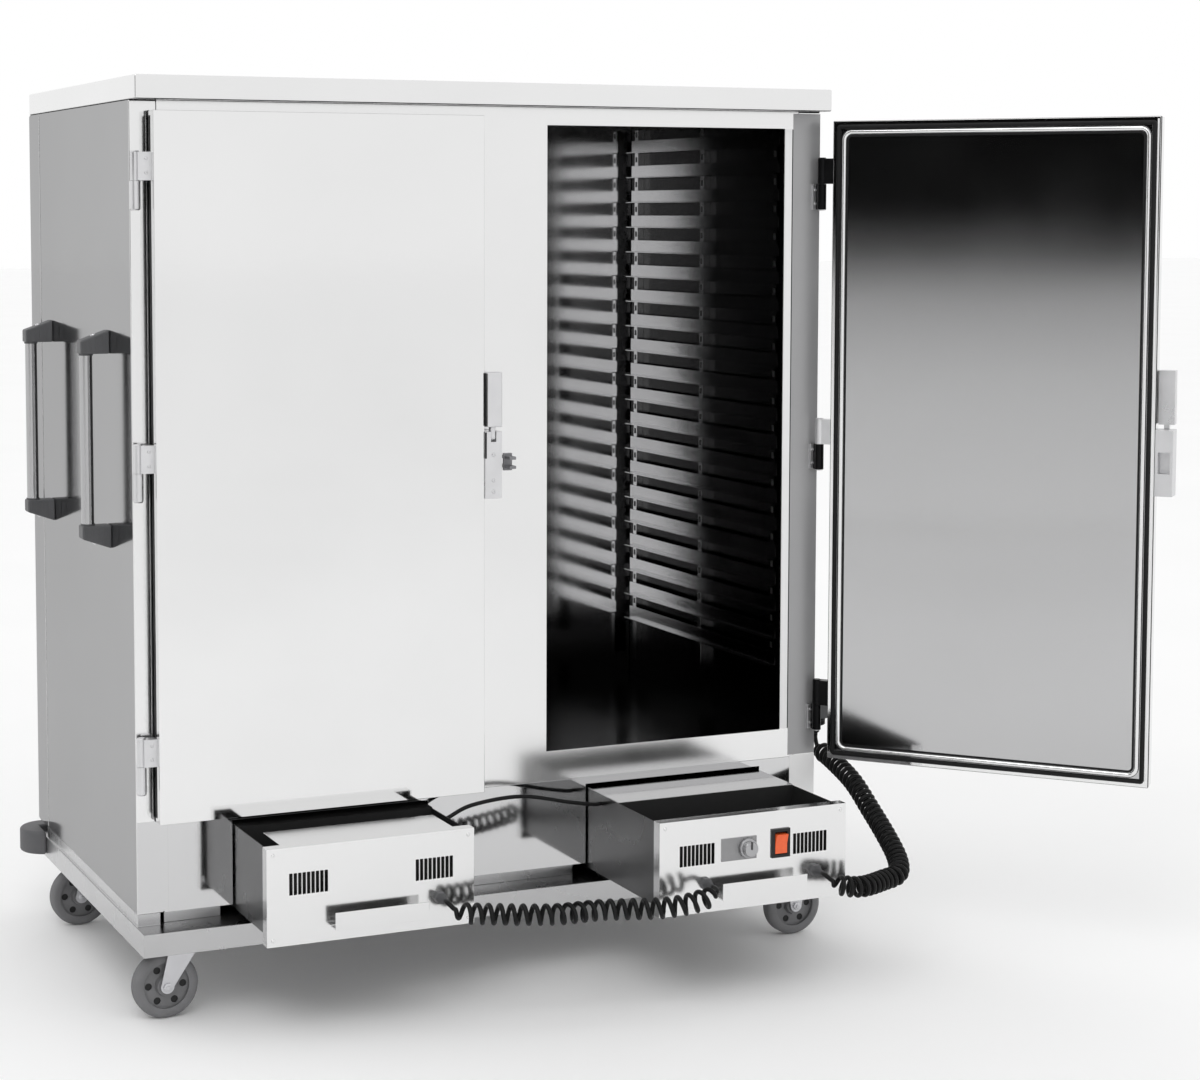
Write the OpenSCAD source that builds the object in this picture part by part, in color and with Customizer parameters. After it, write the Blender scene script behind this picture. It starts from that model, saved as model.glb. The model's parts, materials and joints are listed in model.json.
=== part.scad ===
// Mobile two-door insulated food cabinet with two pull-out heating drawers.
// Origin on the floor under the middle of the cabinet body.
// X runs to the right, Y to the back and Z up. Millimetres.

/* [Cabinet] */
// Width of the cabinet body
body_w = 1456; // [1376:2:1560]
// Depth of the cabinet body
body_d = 800; // [740:2:880]
// Height of the two door openings
opening_h = 1241; // [1100:1:1340]
// Thickness of the insulated side walls
wall_t = 52; // [42:1:58]
// Thickness of the insulated back wall
back_t = 42; // [30:1:54]
// Thickness of the insulated wall between the compartments
partition_t = 150; // [110:2:170]
// Thickness of the insulated compartment floor
floor_t = 44; // [30:1:60]
// Width of the front face between the two openings
mullion_w = 222; // [200:2:240]
// Height of the lid
lid_h = 44; // [30:1:60]
// How far lid and chassis stand out in front of the body
overhang = 44; // [36:1:52]
// Thickness of the sheet metal skins
skin_t = 2; // [1.5:0.5:3]

/* [Doors] */
// Thickness of the doors
door_t = 40; // [34:1:44]
// Rest angle of the right door, opened from shut
door_open = 132; // [0:1:150]
// Radius of the hinge knuckles
knuckle_r = 9; // [8:0.5:11]
// Length of one hinge half
hinge_len = 52; // [40:1:60]

/* [Racks] */
// Distance from one tray slide to the next
slide_pitch = 57; // [50:1:75]
// How far the slides reach out from the wall
slide_reach = 32; // [28:1:34]

/* [Push handles] */
// How far the handles stand out from the side wall
handle_out = 56; // [50:1:75]
// Length of one handle over both brackets
handle_len = 416; // [300:2:480]
// Distance between the two handles
handle_gap = 460; // [360:2:520]

/* [Casters] */
// Diameter of the wheels
wheel_d = 125; // [100:1:150]
// Width of the wheels
wheel_w = 32; // [26:1:38]
// Offset of the swivel wheels from the king pin
trail = 35; // [28:1:44]

/* [Drawers] */
// Width of the drawer fronts
drawer_w = 408; // [390:2:424]
// Height of the drawer fronts
drawer_h = 182; // [160:1:184]
// Length of the drawer trays
tray_len = 560; // [500:2:620]
// How far the left drawer is pulled out at rest
left_out = 220; // [160:1:240]
// How far the right drawer is pulled out at rest
right_out = 332; // [300:1:340]
// Distance of the left drawer from the middle of the cabinet
left_drawer_x = 343; // [310:1:360]
// Distance of the right drawer from the middle of the cabinet
right_drawer_x = 397; // [370:1:430]

/* [Cords] */
// Diameter of the cord wire
wire_d = 9; // [7.5:0.1:9.5]
// Outside diameter of the curls
coil_d = 42; // [34:0.5:44]

/* [Hidden] */
$fn = 64;
eps = 0.01;
fit = 0.05;
half_w = body_w / 2;
front_y = -body_d / 2;
back_y = body_d / 2;
deck_t = 4;
deck_z = wheel_d + 45;
deck_top = deck_z + deck_t;
rim_h = 44;
rim_z = deck_top - rim_h;
rim_t = 3;
plinth_h = 26;
body_z = deck_top + plinth_h;
bay_h = 176;
floor_z = body_z + bay_h;
room_z = floor_z + floor_t;
sill_z = room_z + 16;
lintel_z = sill_z + opening_h;
body_top = lintel_z + 35;
inner_x = half_w - wall_t;
inner_back = back_y - back_t;
frame_t = 3;
opening_in = mullion_w / 2;
opening_out = half_w - 84;
foam_gap = 0.2;

door_z0 = floor_z + 2;
door_z1 = body_top - 20;
door_h = door_z1 - door_z0;
door_zc = (door_z0 + door_z1) / 2;
door_hinge_x = half_w - 33;
door_free_x = opening_in - 68;
door_back = front_y - 6;
door_front = door_back - door_t;
flange_w = 16;
bead_in = flange_w + 1;
bead_w = 10;
seal_in = 7;
seal_w = 9;
hinge_x = half_w - 6;
hinge_y = front_y - 18;
hinge_zs = [door_z0 + 107, door_zc - 5, door_z1 - 127];
pin_r = 5;
latch_z = door_zc - 15;
latch_w = door_free_x - 8;
latch_mid = door_free_x - latch_w / 2;
latch_back = front_y - 8;
lever_y = door_front + 4;
lever_z = latch_z + 54;

slide_z0 = room_z + 140;
slide_top = lintel_z - 30;
slide_n = floor((slide_top - slide_z0) / slide_pitch) + 1;
post = 16;
slide_h = 28;
slide_y0 = front_y + 46;
slide_y1 = inner_back - 36;

handle_z = body_z + 670;
bracket_h = 45;
bracket_tip = 25;
bracket_w = 34;
grip_r = 12;
grip_x = -half_w - handle_out + 14;

wheel_r = wheel_d / 2;
axle_r = 6;
fork_in = wheel_w / 2 + 2.5;
fork_t = 3.5;
crown_z0 = wheel_d + 13;
caster_x = half_w - 50;
caster_y1 = front_y + 4;
caster_y2 = back_y - 140;
king_x = -caster_x + trail + 2;
bumper_r = 56;
bumper_h = 50;
bumper_x = half_w - 12;
bumper_y = back_y - 12;

left_x = -left_drawer_x;
right_x = right_drawer_x;
pan_d = 24;
drawer_z0 = deck_top + 3;
drawer_z1 = drawer_z0 + drawer_h;
tray_w = drawer_w - 16;
tray_z0 = drawer_z0 + 15;
tray_z1 = drawer_z1 - 5;
bulkhead_y = pan_d + 165;
tray_end = pan_d + tray_len;
rail_x = tray_w / 2 - 46;
left_front = front_y - left_out;
right_front = front_y - right_out;
grille_z = drawer_z0 + 113;
grille_half = 20;
pull_z = drawer_z0 + 59;
pull_h = 33;
pull_out = 28;
top_plate_d = 98;
top_plate_in = 26;
gland_z = drawer_z0 + 57;
gland_a = -drawer_w / 2 + 98;
gland_b = -drawer_w / 2 + 338;
gland_len = 30;
fan_z = drawer_z0 + 96;
fan_r = 52;
heater_z = tray_z0 + 12;
switch_x = 57.5;
switch_up = 118.5;
switch_z = drawer_z0 + switch_up;
dial_x = -33.5;
dial_half_w = 38;
dial_half_h = 22;
dial_z = drawer_z0 + 116.5;
knob_x = dial_x + 18;
rocker_tilt = 8;
park_out = 50;
park_in = 78;
park_up = 62;
park_x = half_w + park_out;
park_y = front_y + park_in;
park_z = floor_z + park_up;

// Box between two corners
module box(a, b) {
  translate(a) cube(b - a);
}

// Closed sheet shell with a room for foam inside
module shell(a, b) {
  difference() {
    box(a, b);
    box(a + skin_t * [1, 1, 1], b - skin_t * [1, 1, 1]);
  }
}

// Foam slab that fills such a shell
module foam(a, b) {
  s = skin_t + foam_gap;
  box(a + s * [1, 1, 1], b - s * [1, 1, 1]);
}

// Rounded rectangle lying in the X and Z plane of the doors
module round_rect(x0, z0, x1, z1, r) {
  translate([x0 + r, z0]) square([x1 - x0 - 2 * r, z1 - z0]);
  translate([x0, z0 + r]) square([x1 - x0, z1 - z0 - 2 * r]);
  for (x = [x0 + r, x1 - r])
    for (z = [z0 + r, z1 - r])
      translate([x, z]) circle(r);
}

// Outline in X and Z drawn out from one Y to another
module upright(y0, y1) {
  translate([0, y1, 0]) rotate([90, 0, 0]) linear_extrude(y1 - y0) children();
}

// Cylinder along X
module rod_x(x0, x1, y, z, r) {
  translate([x0, y, z]) rotate([0, 90, 0]) cylinder(h = x1 - x0, r = r);
}

// Cylinder along Y
module rod_y(x, y0, y1, z, r) {
  translate([x, y1, z]) rotate([90, 0, 0]) cylinder(h = y1 - y0, r = r);
}

// Corners of the insulated panels
lid_a = [-half_w, front_y - overhang, body_top];
lid_b = [half_w, back_y, body_top + lid_h];
wall_a = [inner_x, front_y, body_z];
wall_b = [half_w, back_y, body_top];
rear_a = [-inner_x, inner_back, body_z];
rear_b = [inner_x, back_y, body_top];
part_a = [-partition_t / 2, front_y + frame_t, room_z];
part_b = [partition_t / 2, inner_back, body_top];
base_a = [-inner_x, front_y + frame_t, floor_z];
base_b = [inner_x, inner_back, room_z];

// Foam-filled cover of the cabinet
module lid() {
  color("silver") shell(lid_a, lid_b);
}

// Side wall on the handle side
module left_wall() {
  color("silver") mirror([1, 0, 0]) shell(wall_a, wall_b);
}

// Side wall on the plug side
module right_wall() {
  color("silver") shell(wall_a, wall_b);
}

// Back wall between the side walls
module back_wall() {
  color("silver") shell(rear_a, rear_b);
}

// Wall between the two compartments
module partition() {
  color("silver") shell(part_a, part_b);
}

// Floor of both compartments, over the drawer bay
module compartment_floor() {
  color("silver") shell(base_a, base_b);
}

// Foam slabs inside lid, walls, partition and floor
module insulation() {
  color("khaki") {
    foam(lid_a, lid_b);
    foam(wall_a, wall_b);
    mirror([1, 0, 0]) foam(wall_a, wall_b);
    foam(rear_a, rear_b);
    foam(part_a, part_b);
    foam(base_a, base_b);
  }
}

// Front frame with the two door openings
module face_frame() {
  color("gainsboro") upright(front_y, front_y + frame_t) difference() {
    translate([-inner_x, floor_z]) square([2 * inner_x, body_top - floor_z]);
    for (s = [-1, 1])
      translate([s * (opening_in + opening_out) / 2, (sill_z + lintel_z) / 2])
        square([opening_out - opening_in, opening_h], center = true);
  }
}

// Front panel of the drawer bay, notched for the two trays
module lower_front_panel() {
  color("gainsboro") upright(front_y, front_y + frame_t) difference() {
    translate([-inner_x, body_z]) square([2 * inner_x, bay_h]);
    for (x = [left_x, right_x])
      translate([x - tray_w / 2 - 3, body_z - 1]) square([tray_w + 6, tray_z1 + 9 - body_z]);
  }
}

// Rail channel that guides a drawer
module runner(x) {
  difference() {
    box([x - 16, front_y + 14, deck_top - eps], [x + 16, front_y + 570, deck_top + 13]);
    box([x - 9.5, front_y, deck_top + 3.5], [x + 9.5, front_y + 580, deck_top + 10.5]);
    box([x - 3.5, front_y, deck_top + 3.5], [x + 3.5, front_y + 580, deck_top + 20]);
  }
}

// Folded base tray with plinth, drawer runners and caster bosses
module chassis() {
  color("darkgray") {
    difference() {
      box([-half_w, front_y - overhang, rim_z], [half_w, back_y, deck_top]);
      box([-half_w + rim_t, front_y - overhang + rim_t, rim_z - 1],
        [half_w - rim_t, back_y - rim_t, deck_z]);
    }
    for (s = [-1, 1])
      box([s * (half_w - wall_t / 2) - wall_t / 2 + 4, front_y + 12, deck_top - eps],
        [s * (half_w - wall_t / 2) + wall_t / 2 - 4, back_y - 60, body_z]);
    box([-inner_x + 40, inner_back + 4, deck_top - eps], [inner_x - 40, back_y - 4, body_z]);
    for (x = [left_x, right_x])
      for (s = [-1, 1])
        runner(x + s * rail_x);
    box([left_x + drawer_w / 2 + 12, front_y + 25, deck_top - eps],
      [right_x - drawer_w / 2 - 12, front_y + 31, body_z]);
    box([-inner_x + 6, front_y + 25, deck_top - eps],
      [left_x - drawer_w / 2 - 12, front_y + 31, body_z]);
    box([right_x + drawer_w / 2 + 12, front_y + 25, deck_top - eps],
      [inner_x - 6, front_y + 31, body_z]);
    for (y = [caster_y1, caster_y2])
      translate([king_x, y, crown_z0 + 8.4]) difference() {
        cylinder(h = deck_z - crown_z0 - 8.4 + eps, r = 34);
        translate([0, 0, -1]) cylinder(h = 20, r = 7 + fit);
      }
  }
}

// One tray slide and its posts against a wall at the given side
module rack(x, s) {
  for (y = [slide_y0 + 20, (slide_y0 + slide_y1) / 2, slide_y1 - 20])
    translate([x + s * post / 2, y, (room_z + 40 + body_top) / 2 - 6])
      cube([post, post, body_top - room_z - 60], center = true);
  for (i = [0 : slide_n - 1])
    translate([x + s * (post + 0.2), 0, slide_z0 + i * slide_pitch])
      upright(slide_y0, slide_y1)
        polygon([[0, 0], [s * (slide_reach - post), 0], [s * (slide_reach - post), 2],
          [s * 2, 2], [s * 2, slide_h], [0, slide_h]]);
}

// Tray slides of the left compartment
module left_racks() {
  color("gray") {
    rack(-inner_x, 1);
    rack(-partition_t / 2, -1);
  }
}

// Tray slides of the right compartment
module right_racks() {
  color("gray") {
    rack(inner_x, -1);
    rack(partition_t / 2, 1);
  }
}

// One wedge-shaped end bracket with its bore, flat face at the given height
module bracket(y, z, s) {
  difference() {
    translate([-half_w, 0, z]) upright(y - bracket_w / 2, y + bracket_w / 2)
      polygon([[0, 0], [0, s * bracket_h], [-handle_out, s * bracket_tip], [-handle_out, 0]]);
    translate([grip_x, y, z + s * 6]) cylinder(h = 14, r = 8 + fit, center = true);
  }
}

// Dark end brackets of the two push handles
module push_handle_brackets() {
  color("dimgray") for (y = [-handle_gap / 2, handle_gap / 2]) {
    bracket(y, handle_z + handle_len - bracket_h, 1);
    bracket(y, handle_z + bracket_h, -1);
  }
}

// Round grips of the two push handles
module push_handle_grips() {
  z0 = handle_z + bracket_h;
  z1 = handle_z + handle_len - bracket_h;
  color("gainsboro") for (y = [-handle_gap / 2, handle_gap / 2])
    translate([grip_x, y, 0]) {
      translate([0, 0, z0]) cylinder(h = z1 - z0, r = grip_r);
      translate([0, 0, z0 - 12]) cylinder(h = z1 - z0 + 24, r = 8);
    }
}

// Cabinet half of one hinge with its pin, on the right
module hinge_low(z) {
  box([hinge_x - 14, front_y - 5, z - hinge_len], [half_w, front_y, z - 0.2]);
  box([hinge_x - 6, hinge_y, z - hinge_len], [hinge_x + 5, front_y - 4, z - 0.2]);
  translate([hinge_x, hinge_y, z - hinge_len]) cylinder(h = hinge_len - 0.2, r = knuckle_r);
  translate([hinge_x, hinge_y, z - 1]) cylinder(h = hinge_len - 11, r = pin_r);
}

// Fixed hinge halves on both sides of the front
module cabinet_hinges() {
  color("silver") for (m = [0, 1])
    mirror([m, 0, 0])
      for (z = hinge_zs)
        hinge_low(z);
}

// Door half of one hinge, shut, on the right
module hinge_high(z) {
  difference() {
    union() {
      box([door_hinge_x, hinge_y - 14, z + 0.2], [hinge_x - 2, hinge_y + 7, z + hinge_len]);
      translate([hinge_x, hinge_y, z + 0.2]) cylinder(h = hinge_len - 0.2, r = knuckle_r);
    }
    translate([hinge_x, hinge_y, z - 1]) cylinder(h = hinge_len - 9, r = pin_r + fit);
  }
}

// Two-pronged keepers on the middle of the front
module latch_keepers() {
  color("gainsboro") for (m = [0, 1])
    mirror([m, 0, 0]) {
      box([latch_mid - 9, front_y - 3, latch_z - 17], [latch_mid + 9, front_y, latch_z + 17]);
      for (s = [-1, 1])
        box([latch_mid - 7, front_y - 27, latch_z + s * 9 - 3],
          [latch_mid + 7, front_y - 2, latch_z + s * 9 + 3]);
    }
}

// Puts a right-hand door piece into its rest place
module left_door_place() {
  mirror([1, 0, 0]) children();
}

// Swings a right-hand door piece open about its hinge
module right_door_place() {
  translate([hinge_x, hinge_y, 0]) rotate([0, 0, door_open])
    translate([-hinge_x, -hinge_y, 0]) children();
}

// Folded outer pan of a shut right-hand door
module door_pan() {
  s = skin_t;
  f = flange_w;
  difference() {
    box([door_free_x, door_front, door_z0], [door_hinge_x, door_back, door_z1]);
    box([door_free_x + s, door_front + s, door_z0 + s], [door_hinge_x - s, door_back - s, door_z1 - s]);
    box([door_free_x + f, door_back - s - 1, door_z0 + f], [door_hinge_x - f, door_back + 1, door_z1 - f]);
  }
}

// Foam core of a door
module door_core() {
  s = skin_t + foam_gap;
  box([door_free_x + s, door_front + s, door_z0 + s], [door_hinge_x - s, door_back - s, door_z1 - s]);
}

// Inner plate of a door with its raised bead
module door_liner() {
  f = flange_w + 0.1;
  upright(door_back - skin_t, door_back)
    translate([door_free_x + f, door_z0 + f])
      square([door_hinge_x - door_free_x - 2 * f, door_h - 2 * f]);
  upright(door_back - eps, door_back + 4) difference() {
    round_rect(door_free_x + bead_in, door_z0 + bead_in, door_hinge_x - bead_in, door_z1 - bead_in, 22);
    round_rect(door_free_x + bead_in + bead_w, door_z0 + bead_in + bead_w,
      door_hinge_x - bead_in - bead_w, door_z1 - bead_in - bead_w, 12);
  }
}

// Soft seal round the edge of a door
module door_gasket() {
  upright(door_back, front_y - 0.3) difference() {
    translate([door_free_x + seal_in, door_z0 + seal_in])
      square([door_hinge_x - door_free_x - 2 * seal_in, door_h - 2 * seal_in]);
    translate([door_free_x + seal_in + seal_w, door_z0 + seal_in + seal_w])
      square([door_hinge_x - door_free_x - 2 * (seal_in + seal_w), door_h - 2 * (seal_in + seal_w)]);
  }
}

// Latch body on the free edge, with a pocket for the keeper and a slot for the lever
module latch_body() {
  difference() {
    box([8, door_front - 4, latch_z - 65], [door_free_x, latch_back, latch_z + 65]);
    box([latch_mid - 11, front_y - 34, latch_z - 21], [latch_mid + 11, front_y, latch_z + 21]);
    box([latch_mid - 5.5, door_front - 5, lever_z - 9], [latch_mid + 5.5, lever_y + 9, latch_z + 66]);
  }
  rod_x(latch_mid - 8, latch_mid + 8, lever_y, lever_z, 3);
}

// Lever that turns outward on the latch body
module latch_lever() {
  difference() {
    union() {
      box([10, door_front - 10, latch_z + 74], [door_free_x - 2, door_front + 14, latch_z + 180]);
      box([latch_mid - 5, lever_y - 6, lever_z], [latch_mid + 5, lever_y + 6, latch_z + 75]);
      rod_x(latch_mid - 5, latch_mid + 5, lever_y, lever_z, 6.5);
    }
    rod_x(latch_mid - 9, latch_mid + 9, lever_y, lever_z, 3 + fit);
  }
}

module left_door_pan() {
  color("gainsboro") left_door_place() door_pan();
}
module left_door_core() {
  color("khaki") left_door_place() door_core();
}
module left_door_liner() {
  color("silver") left_door_place() door_liner();
}
module left_door_gasket() {
  color("dimgray") left_door_place() door_gasket();
}
module left_door_hinges() {
  color("silver") left_door_place() for (z = hinge_zs) hinge_high(z);
}
module left_latch_body() {
  color("gainsboro") left_door_place() latch_body();
}
module left_latch_lever() {
  color("gray") left_door_place() latch_lever();
}
module right_door_pan() {
  color("gainsboro") right_door_place() door_pan();
}
module right_door_core() {
  color("khaki") right_door_place() door_core();
}
module right_door_liner() {
  color("silver") right_door_place() door_liner();
}
module right_door_gasket() {
  color("dimgray") right_door_place() door_gasket();
}
module right_door_hinges() {
  color("silver") right_door_place() for (z = hinge_zs) hinge_high(z);
}
module right_latch_body() {
  color("gainsboro") right_door_place() latch_body();
}
module right_latch_lever() {
  color("gray") right_door_place() latch_lever();
}

// Socket on the right wall that holds the parked plug, mouth down
module parking_socket() {
  color("dimgray") difference() {
    box([half_w, park_y - 30, park_z], [park_x + 28, park_y + 30, park_z + 58]);
    translate([park_x, park_y, park_z - 1]) cylinder(h = 33, r = 20.2);
    for (s = [-1, 1])
      translate([park_x, park_y + s * 9.5, park_z + 20]) cylinder(h = 32, r = 2.6);
  }
}

// Mains plug parked in the socket, cord end down
module mains_plug() {
  color("dimgray") translate([park_x, park_y, park_z]) {
    translate([0, 0, -16]) cylinder(h = 46, r = 20);
    translate([0, 0, -36]) cylinder(h = 21, r = 11);
    for (s = [-1, 1])
      translate([0, s * 9.5, 29]) cylinder(h = 20, r = 2.4);
  }
}

// Rubber bumpers that wrap round the rear corners of the chassis
module corner_bumpers() {
  color("dimgray") for (m = [0, 1])
    mirror([m, 0, 0]) difference() {
      translate([bumper_x, bumper_y, rim_z + 6]) cylinder(h = bumper_h, r = bumper_r);
      box([0, 0, rim_z], [half_w, back_y, body_z + 1]);
    }
}

// Two tapered fork legs from a top height down to the axle at the origin
module fork_legs(x, top) {
  for (s = [-1, 1])
    translate([0, s * (fork_in + fork_t / 2), 0]) upright(-fork_t / 2, fork_t / 2) {
      polygon([[-13, 0], [x - 30, top], [x + 30, top], [13, 0]]);
      circle(13);
    }
  rod_y(0, -fork_in - eps, fork_in + eps, 0, axle_r);
}

// Rigid forks under the right end of the chassis
module fixed_caster_forks() {
  color("silver") for (y = [caster_y1, caster_y2])
    translate([caster_x, y, wheel_r]) {
      fork_legs(0, deck_z - wheel_r - 3);
      box([-36, -fork_in - fork_t, deck_z - wheel_r - 4], [36, fork_in + fork_t, deck_z - wheel_r]);
    }
}

// Swivelling fork with its king pin
module swivel_fork(y) {
  color("silver") translate([king_x - trail, y, wheel_r]) {
    fork_legs(trail, crown_z0 - wheel_r + 1);
    translate([trail, 0, crown_z0 - wheel_r]) cylinder(h = 8, r = 34);
    translate([trail, 0, crown_z0 - wheel_r + 7]) cylinder(h = deck_z - crown_z0 - 12, r = 7);
  }
}
module front_swivel_fork() {
  swivel_fork(caster_y1);
}
module rear_swivel_fork() {
  swivel_fork(caster_y2);
}

// Wheel with a moulded web and round holes
module wheel(x, y) {
  color("dimgray") translate([x, y, wheel_r]) rotate([90, 0, 0]) difference() {
    rotate_extrude() polygon([[axle_r + fit, -wheel_w / 2], [18, -wheel_w / 2], [21, -7],
      [wheel_r - 19, -7], [wheel_r - 16, -wheel_w / 2 + 2], [wheel_r - 5, -wheel_w / 2 + 2],
      [wheel_r, -wheel_w / 2 + 8], [wheel_r, wheel_w / 2 - 8], [wheel_r - 5, wheel_w / 2 - 2],
      [wheel_r - 16, wheel_w / 2 - 2], [wheel_r - 19, 7], [21, 7], [18, wheel_w / 2],
      [axle_r + fit, wheel_w / 2]]);
    for (a = [0 : 60 : 300])
      rotate([0, 0, a]) translate([(wheel_r + 4) / 2, 0, -20]) cylinder(h = 40, r = 7);
  }
}
module front_left_wheel() {
  wheel(king_x - trail, caster_y1);
}
module rear_left_wheel() {
  wheel(king_x - trail, caster_y2);
}
module front_right_wheel() {
  wheel(caster_x, caster_y1);
}
module rear_right_wheel() {
  wheel(caster_x, caster_y2);
}

// Places a drawer piece, drawn with its front face at Y zero
module left_drawer_place() {
  translate([left_x, left_front, 0]) children();
}
module right_drawer_place() {
  translate([right_x, right_front, 0]) children();
}

// Open tray with a bulkhead and the two rails under it
module drawer_tray() {
  w = tray_w / 2;
  s = 2;
  color("dimgray") {
    difference() {
      box([-w, pan_d, tray_z0], [w, tray_end, tray_z1]);
      box([-w + s, pan_d + s, tray_z0 + s], [w - s, bulkhead_y, tray_z1 + 1]);
      box([-w + s, bulkhead_y + s, tray_z0 + s], [w - s, tray_end - s, tray_z1 + 1]);
    }
    for (x = [-rail_x, rail_x]) {
      box([x - 3, pan_d, deck_top + 8], [x + 3, tray_end, tray_z0 + eps]);
      box([x - 9, pan_d, deck_top + 4], [x + 9, tray_end, deck_top + 10]);
    }
  }
}

// Folded front with slotted grilles and a finger pull
module drawer_front() {
  w = drawer_w / 2;
  difference() {
    box([-w, 0, drawer_z0], [w, pan_d, drawer_z1]);
    box([-w + 2, 2, drawer_z0 + 2], [w - 2, pan_d + 1, drawer_z1 - 2]);
    for (x = [-w + 42, w - 119])
      for (i = [0 : 8])
        box([x + 2 + i * 8.5, -1, grille_z - grille_half], [x + 6.5 + i * 8.5, 3, grille_z + grille_half]);
    children();
  }
  box([-82, -pull_out, pull_z - pull_h], [102, eps, pull_z - pull_h + 3]);
  box([-82, -pull_out, pull_z - pull_h], [102, -pull_out + 2, pull_z]);
}

// Cover over the heater end of a tray
module drawer_cover() {
  color("silver") box([-tray_w / 2, bulkhead_y, tray_z1], [tray_w / 2, tray_end, tray_z1 + 2]);
}

// Serpentine heating rod behind the bulkhead
module heater() {
  r = 4;
  y0 = bulkhead_y + 2;
  y1 = bulkhead_y + 70;
  y2 = tray_end - 70;
  color("dimgray") {
    for (x = [-135, 135])
      rod_y(x, y0, y2, heater_z, r);
    for (x = [-45, 45])
      rod_y(x, y1, y2, heater_z, r);
    for (x = [-90, 90])
      translate([x, y2, heater_z]) rotate_extrude(angle = 180) translate([45, 0]) circle(r);
    translate([0, y1, heater_z]) rotate([0, 0, 180]) rotate_extrude(angle = 180)
      translate([45, 0]) circle(r);
  }
}

// Motor on the bulkhead with its shaft
module fan_motor() {
  y = bulkhead_y + 2;
  color("gray") {
    rod_y(0, y, y + 6, fan_z, 42);
    rod_y(0, y + 5, y + 52, fan_z, 36);
    rod_y(0, y + 51, y + 84, fan_z, 4);
  }
}

// Bladed wheel on the motor shaft
module fan() {
  y = bulkhead_y + 58;
  color("silver") difference() {
    union() {
      rod_y(0, y, y + 26, fan_z, 13);
      rod_y(0, y, y + 3, fan_z, fan_r - 6);
      for (a = [0 : 45 : 315])
        translate([0, y + 1, fan_z]) rotate([0, a, 0]) box([10, 0, -1], [fan_r, 24, 1]);
    }
    rod_y(0, y - 1, y + 30, fan_z, 4 + fit);
  }
}

// Screwed cord entry on a drawer front
module gland(x) {
  translate([x, 0, gland_z]) rotate([90, 0, 0]) cylinder(h = 10, r = 12, $fn = 6);
  rod_y(x, -gland_len, -9, gland_z, 8);
}

module left_drawer_tray() {
  left_drawer_place() drawer_tray();
}
// Front of the left drawer, with a top plate that runs on behind it
module left_drawer_front() {
  color("gainsboro") left_drawer_place() {
    drawer_front();
    box([-tray_w / 2 + top_plate_in, pan_d - eps, drawer_z1 - 2],
      [tray_w / 2 - top_plate_in, pan_d + top_plate_d, drawer_z1]);
  }
}
module left_drawer_cover() {
  left_drawer_place() drawer_cover();
}
module left_heater() {
  left_drawer_place() heater();
}
module left_fan_motor() {
  left_drawer_place() fan_motor();
}
module left_fan() {
  left_drawer_place() fan();
}
module left_cord_gland() {
  color("dimgray") left_drawer_place() gland(gland_b);
}
module right_drawer_tray() {
  right_drawer_place() drawer_tray();
}
module right_drawer_front() {
  color("gainsboro") right_drawer_place() drawer_front()
    box([switch_x - 16.5, -1, switch_z - 25], [switch_x + 16.5, 3, switch_z + 25]);
  color("gainsboro") right_drawer_place() {
    box([dial_x - dial_half_w, -2, dial_z - dial_half_h], [dial_x + dial_half_w, eps, dial_z + dial_half_h]);
    rod_y(knob_x, -14, 0, dial_z, 4);
  }
}
module right_drawer_cover() {
  right_drawer_place() drawer_cover();
}
module right_heater() {
  right_drawer_place() heater();
}
module right_fan_motor() {
  right_drawer_place() fan_motor();
}
module right_fan() {
  right_drawer_place() fan();
}
module right_cord_glands() {
  color("dimgray") right_drawer_place() {
    gland(gland_a);
    gland(gland_b);
  }
}

// Black frame of the rocker switch
module switch_bezel() {
  color("black") right_drawer_place() translate([switch_x, 0, switch_z]) {
    difference() {
      union() {
        box([-20, -4, -28], [20, 0, 28]);
        box([-16, -1, -24.5], [16, 16, 24.5]);
      }
      box([-13.5, -5, -22], [13.5, 14, 22]);
      rod_x(-15, 15, 4, 0, 2 + fit);
    }
  }
}

// Lit rocker, tipped to one end
module switch_rocker() {
  color("tomato") right_drawer_place() translate([switch_x, 4, switch_z]) rotate([rocker_tilt, 0, 0]) {
    translate([-13, 0, 0]) rotate([90, 0, 90]) linear_extrude(26)
      polygon([[-11, -19], [-8.5, 0], [-11, 19], [6, 17], [8, 0], [6, -17]]);
    rod_x(-14.8, 14.8, 0, 0, 2);
  }
}

// Ribbed dial with a pointer ridge
module thermostat_knob() {
  color("dimgray") right_drawer_place() difference() {
    union() {
      rod_y(knob_x, -8, -2.4, dial_z, 19);
      rod_y(knob_x, -19, -7, dial_z, 15);
      box([knob_x - 2, -21, dial_z], [knob_x + 2, -8, dial_z + 15]);
    }
    rod_y(knob_x, -15, 0, dial_z, 4 + fit);
  }
}

// Smooth curve through points, at a place given by point number
function wrap(p, i) = p[max(0, min(len(p) - 1, i))];
function curve(p, u) =
  let (i = min(floor(u), len(p) - 2), t = u - i,
    a = wrap(p, i - 1), b = p[i], c = p[i + 1], d = wrap(p, i + 2))
  0.5 * (2 * b + (c - a) * t + (2 * a - 5 * b + 4 * c - d) * t * t + (3 * b - a - 3 * c + d) * t * t * t);
function unit(v) = v / norm(v);

// Running length of the curve at fine steps
steps = 240;
function fine(p) = [for (i = [0 : steps]) curve(p, i * (len(p) - 1) / steps)];
function sums(q, i = 1, s = 0, r = [0]) =
  i >= len(q) ? r : let (n = s + norm(q[i] - q[i - 1])) sums(q, i + 1, n, concat(r, [n]));
function table(p) =
  let (s = sums(fine(p)))
  [for (i = [0 : steps]) [s[i], i * (len(p) - 1) / steps]];
function at(p, tab, s) = curve(p, lookup(s, tab));

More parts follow.
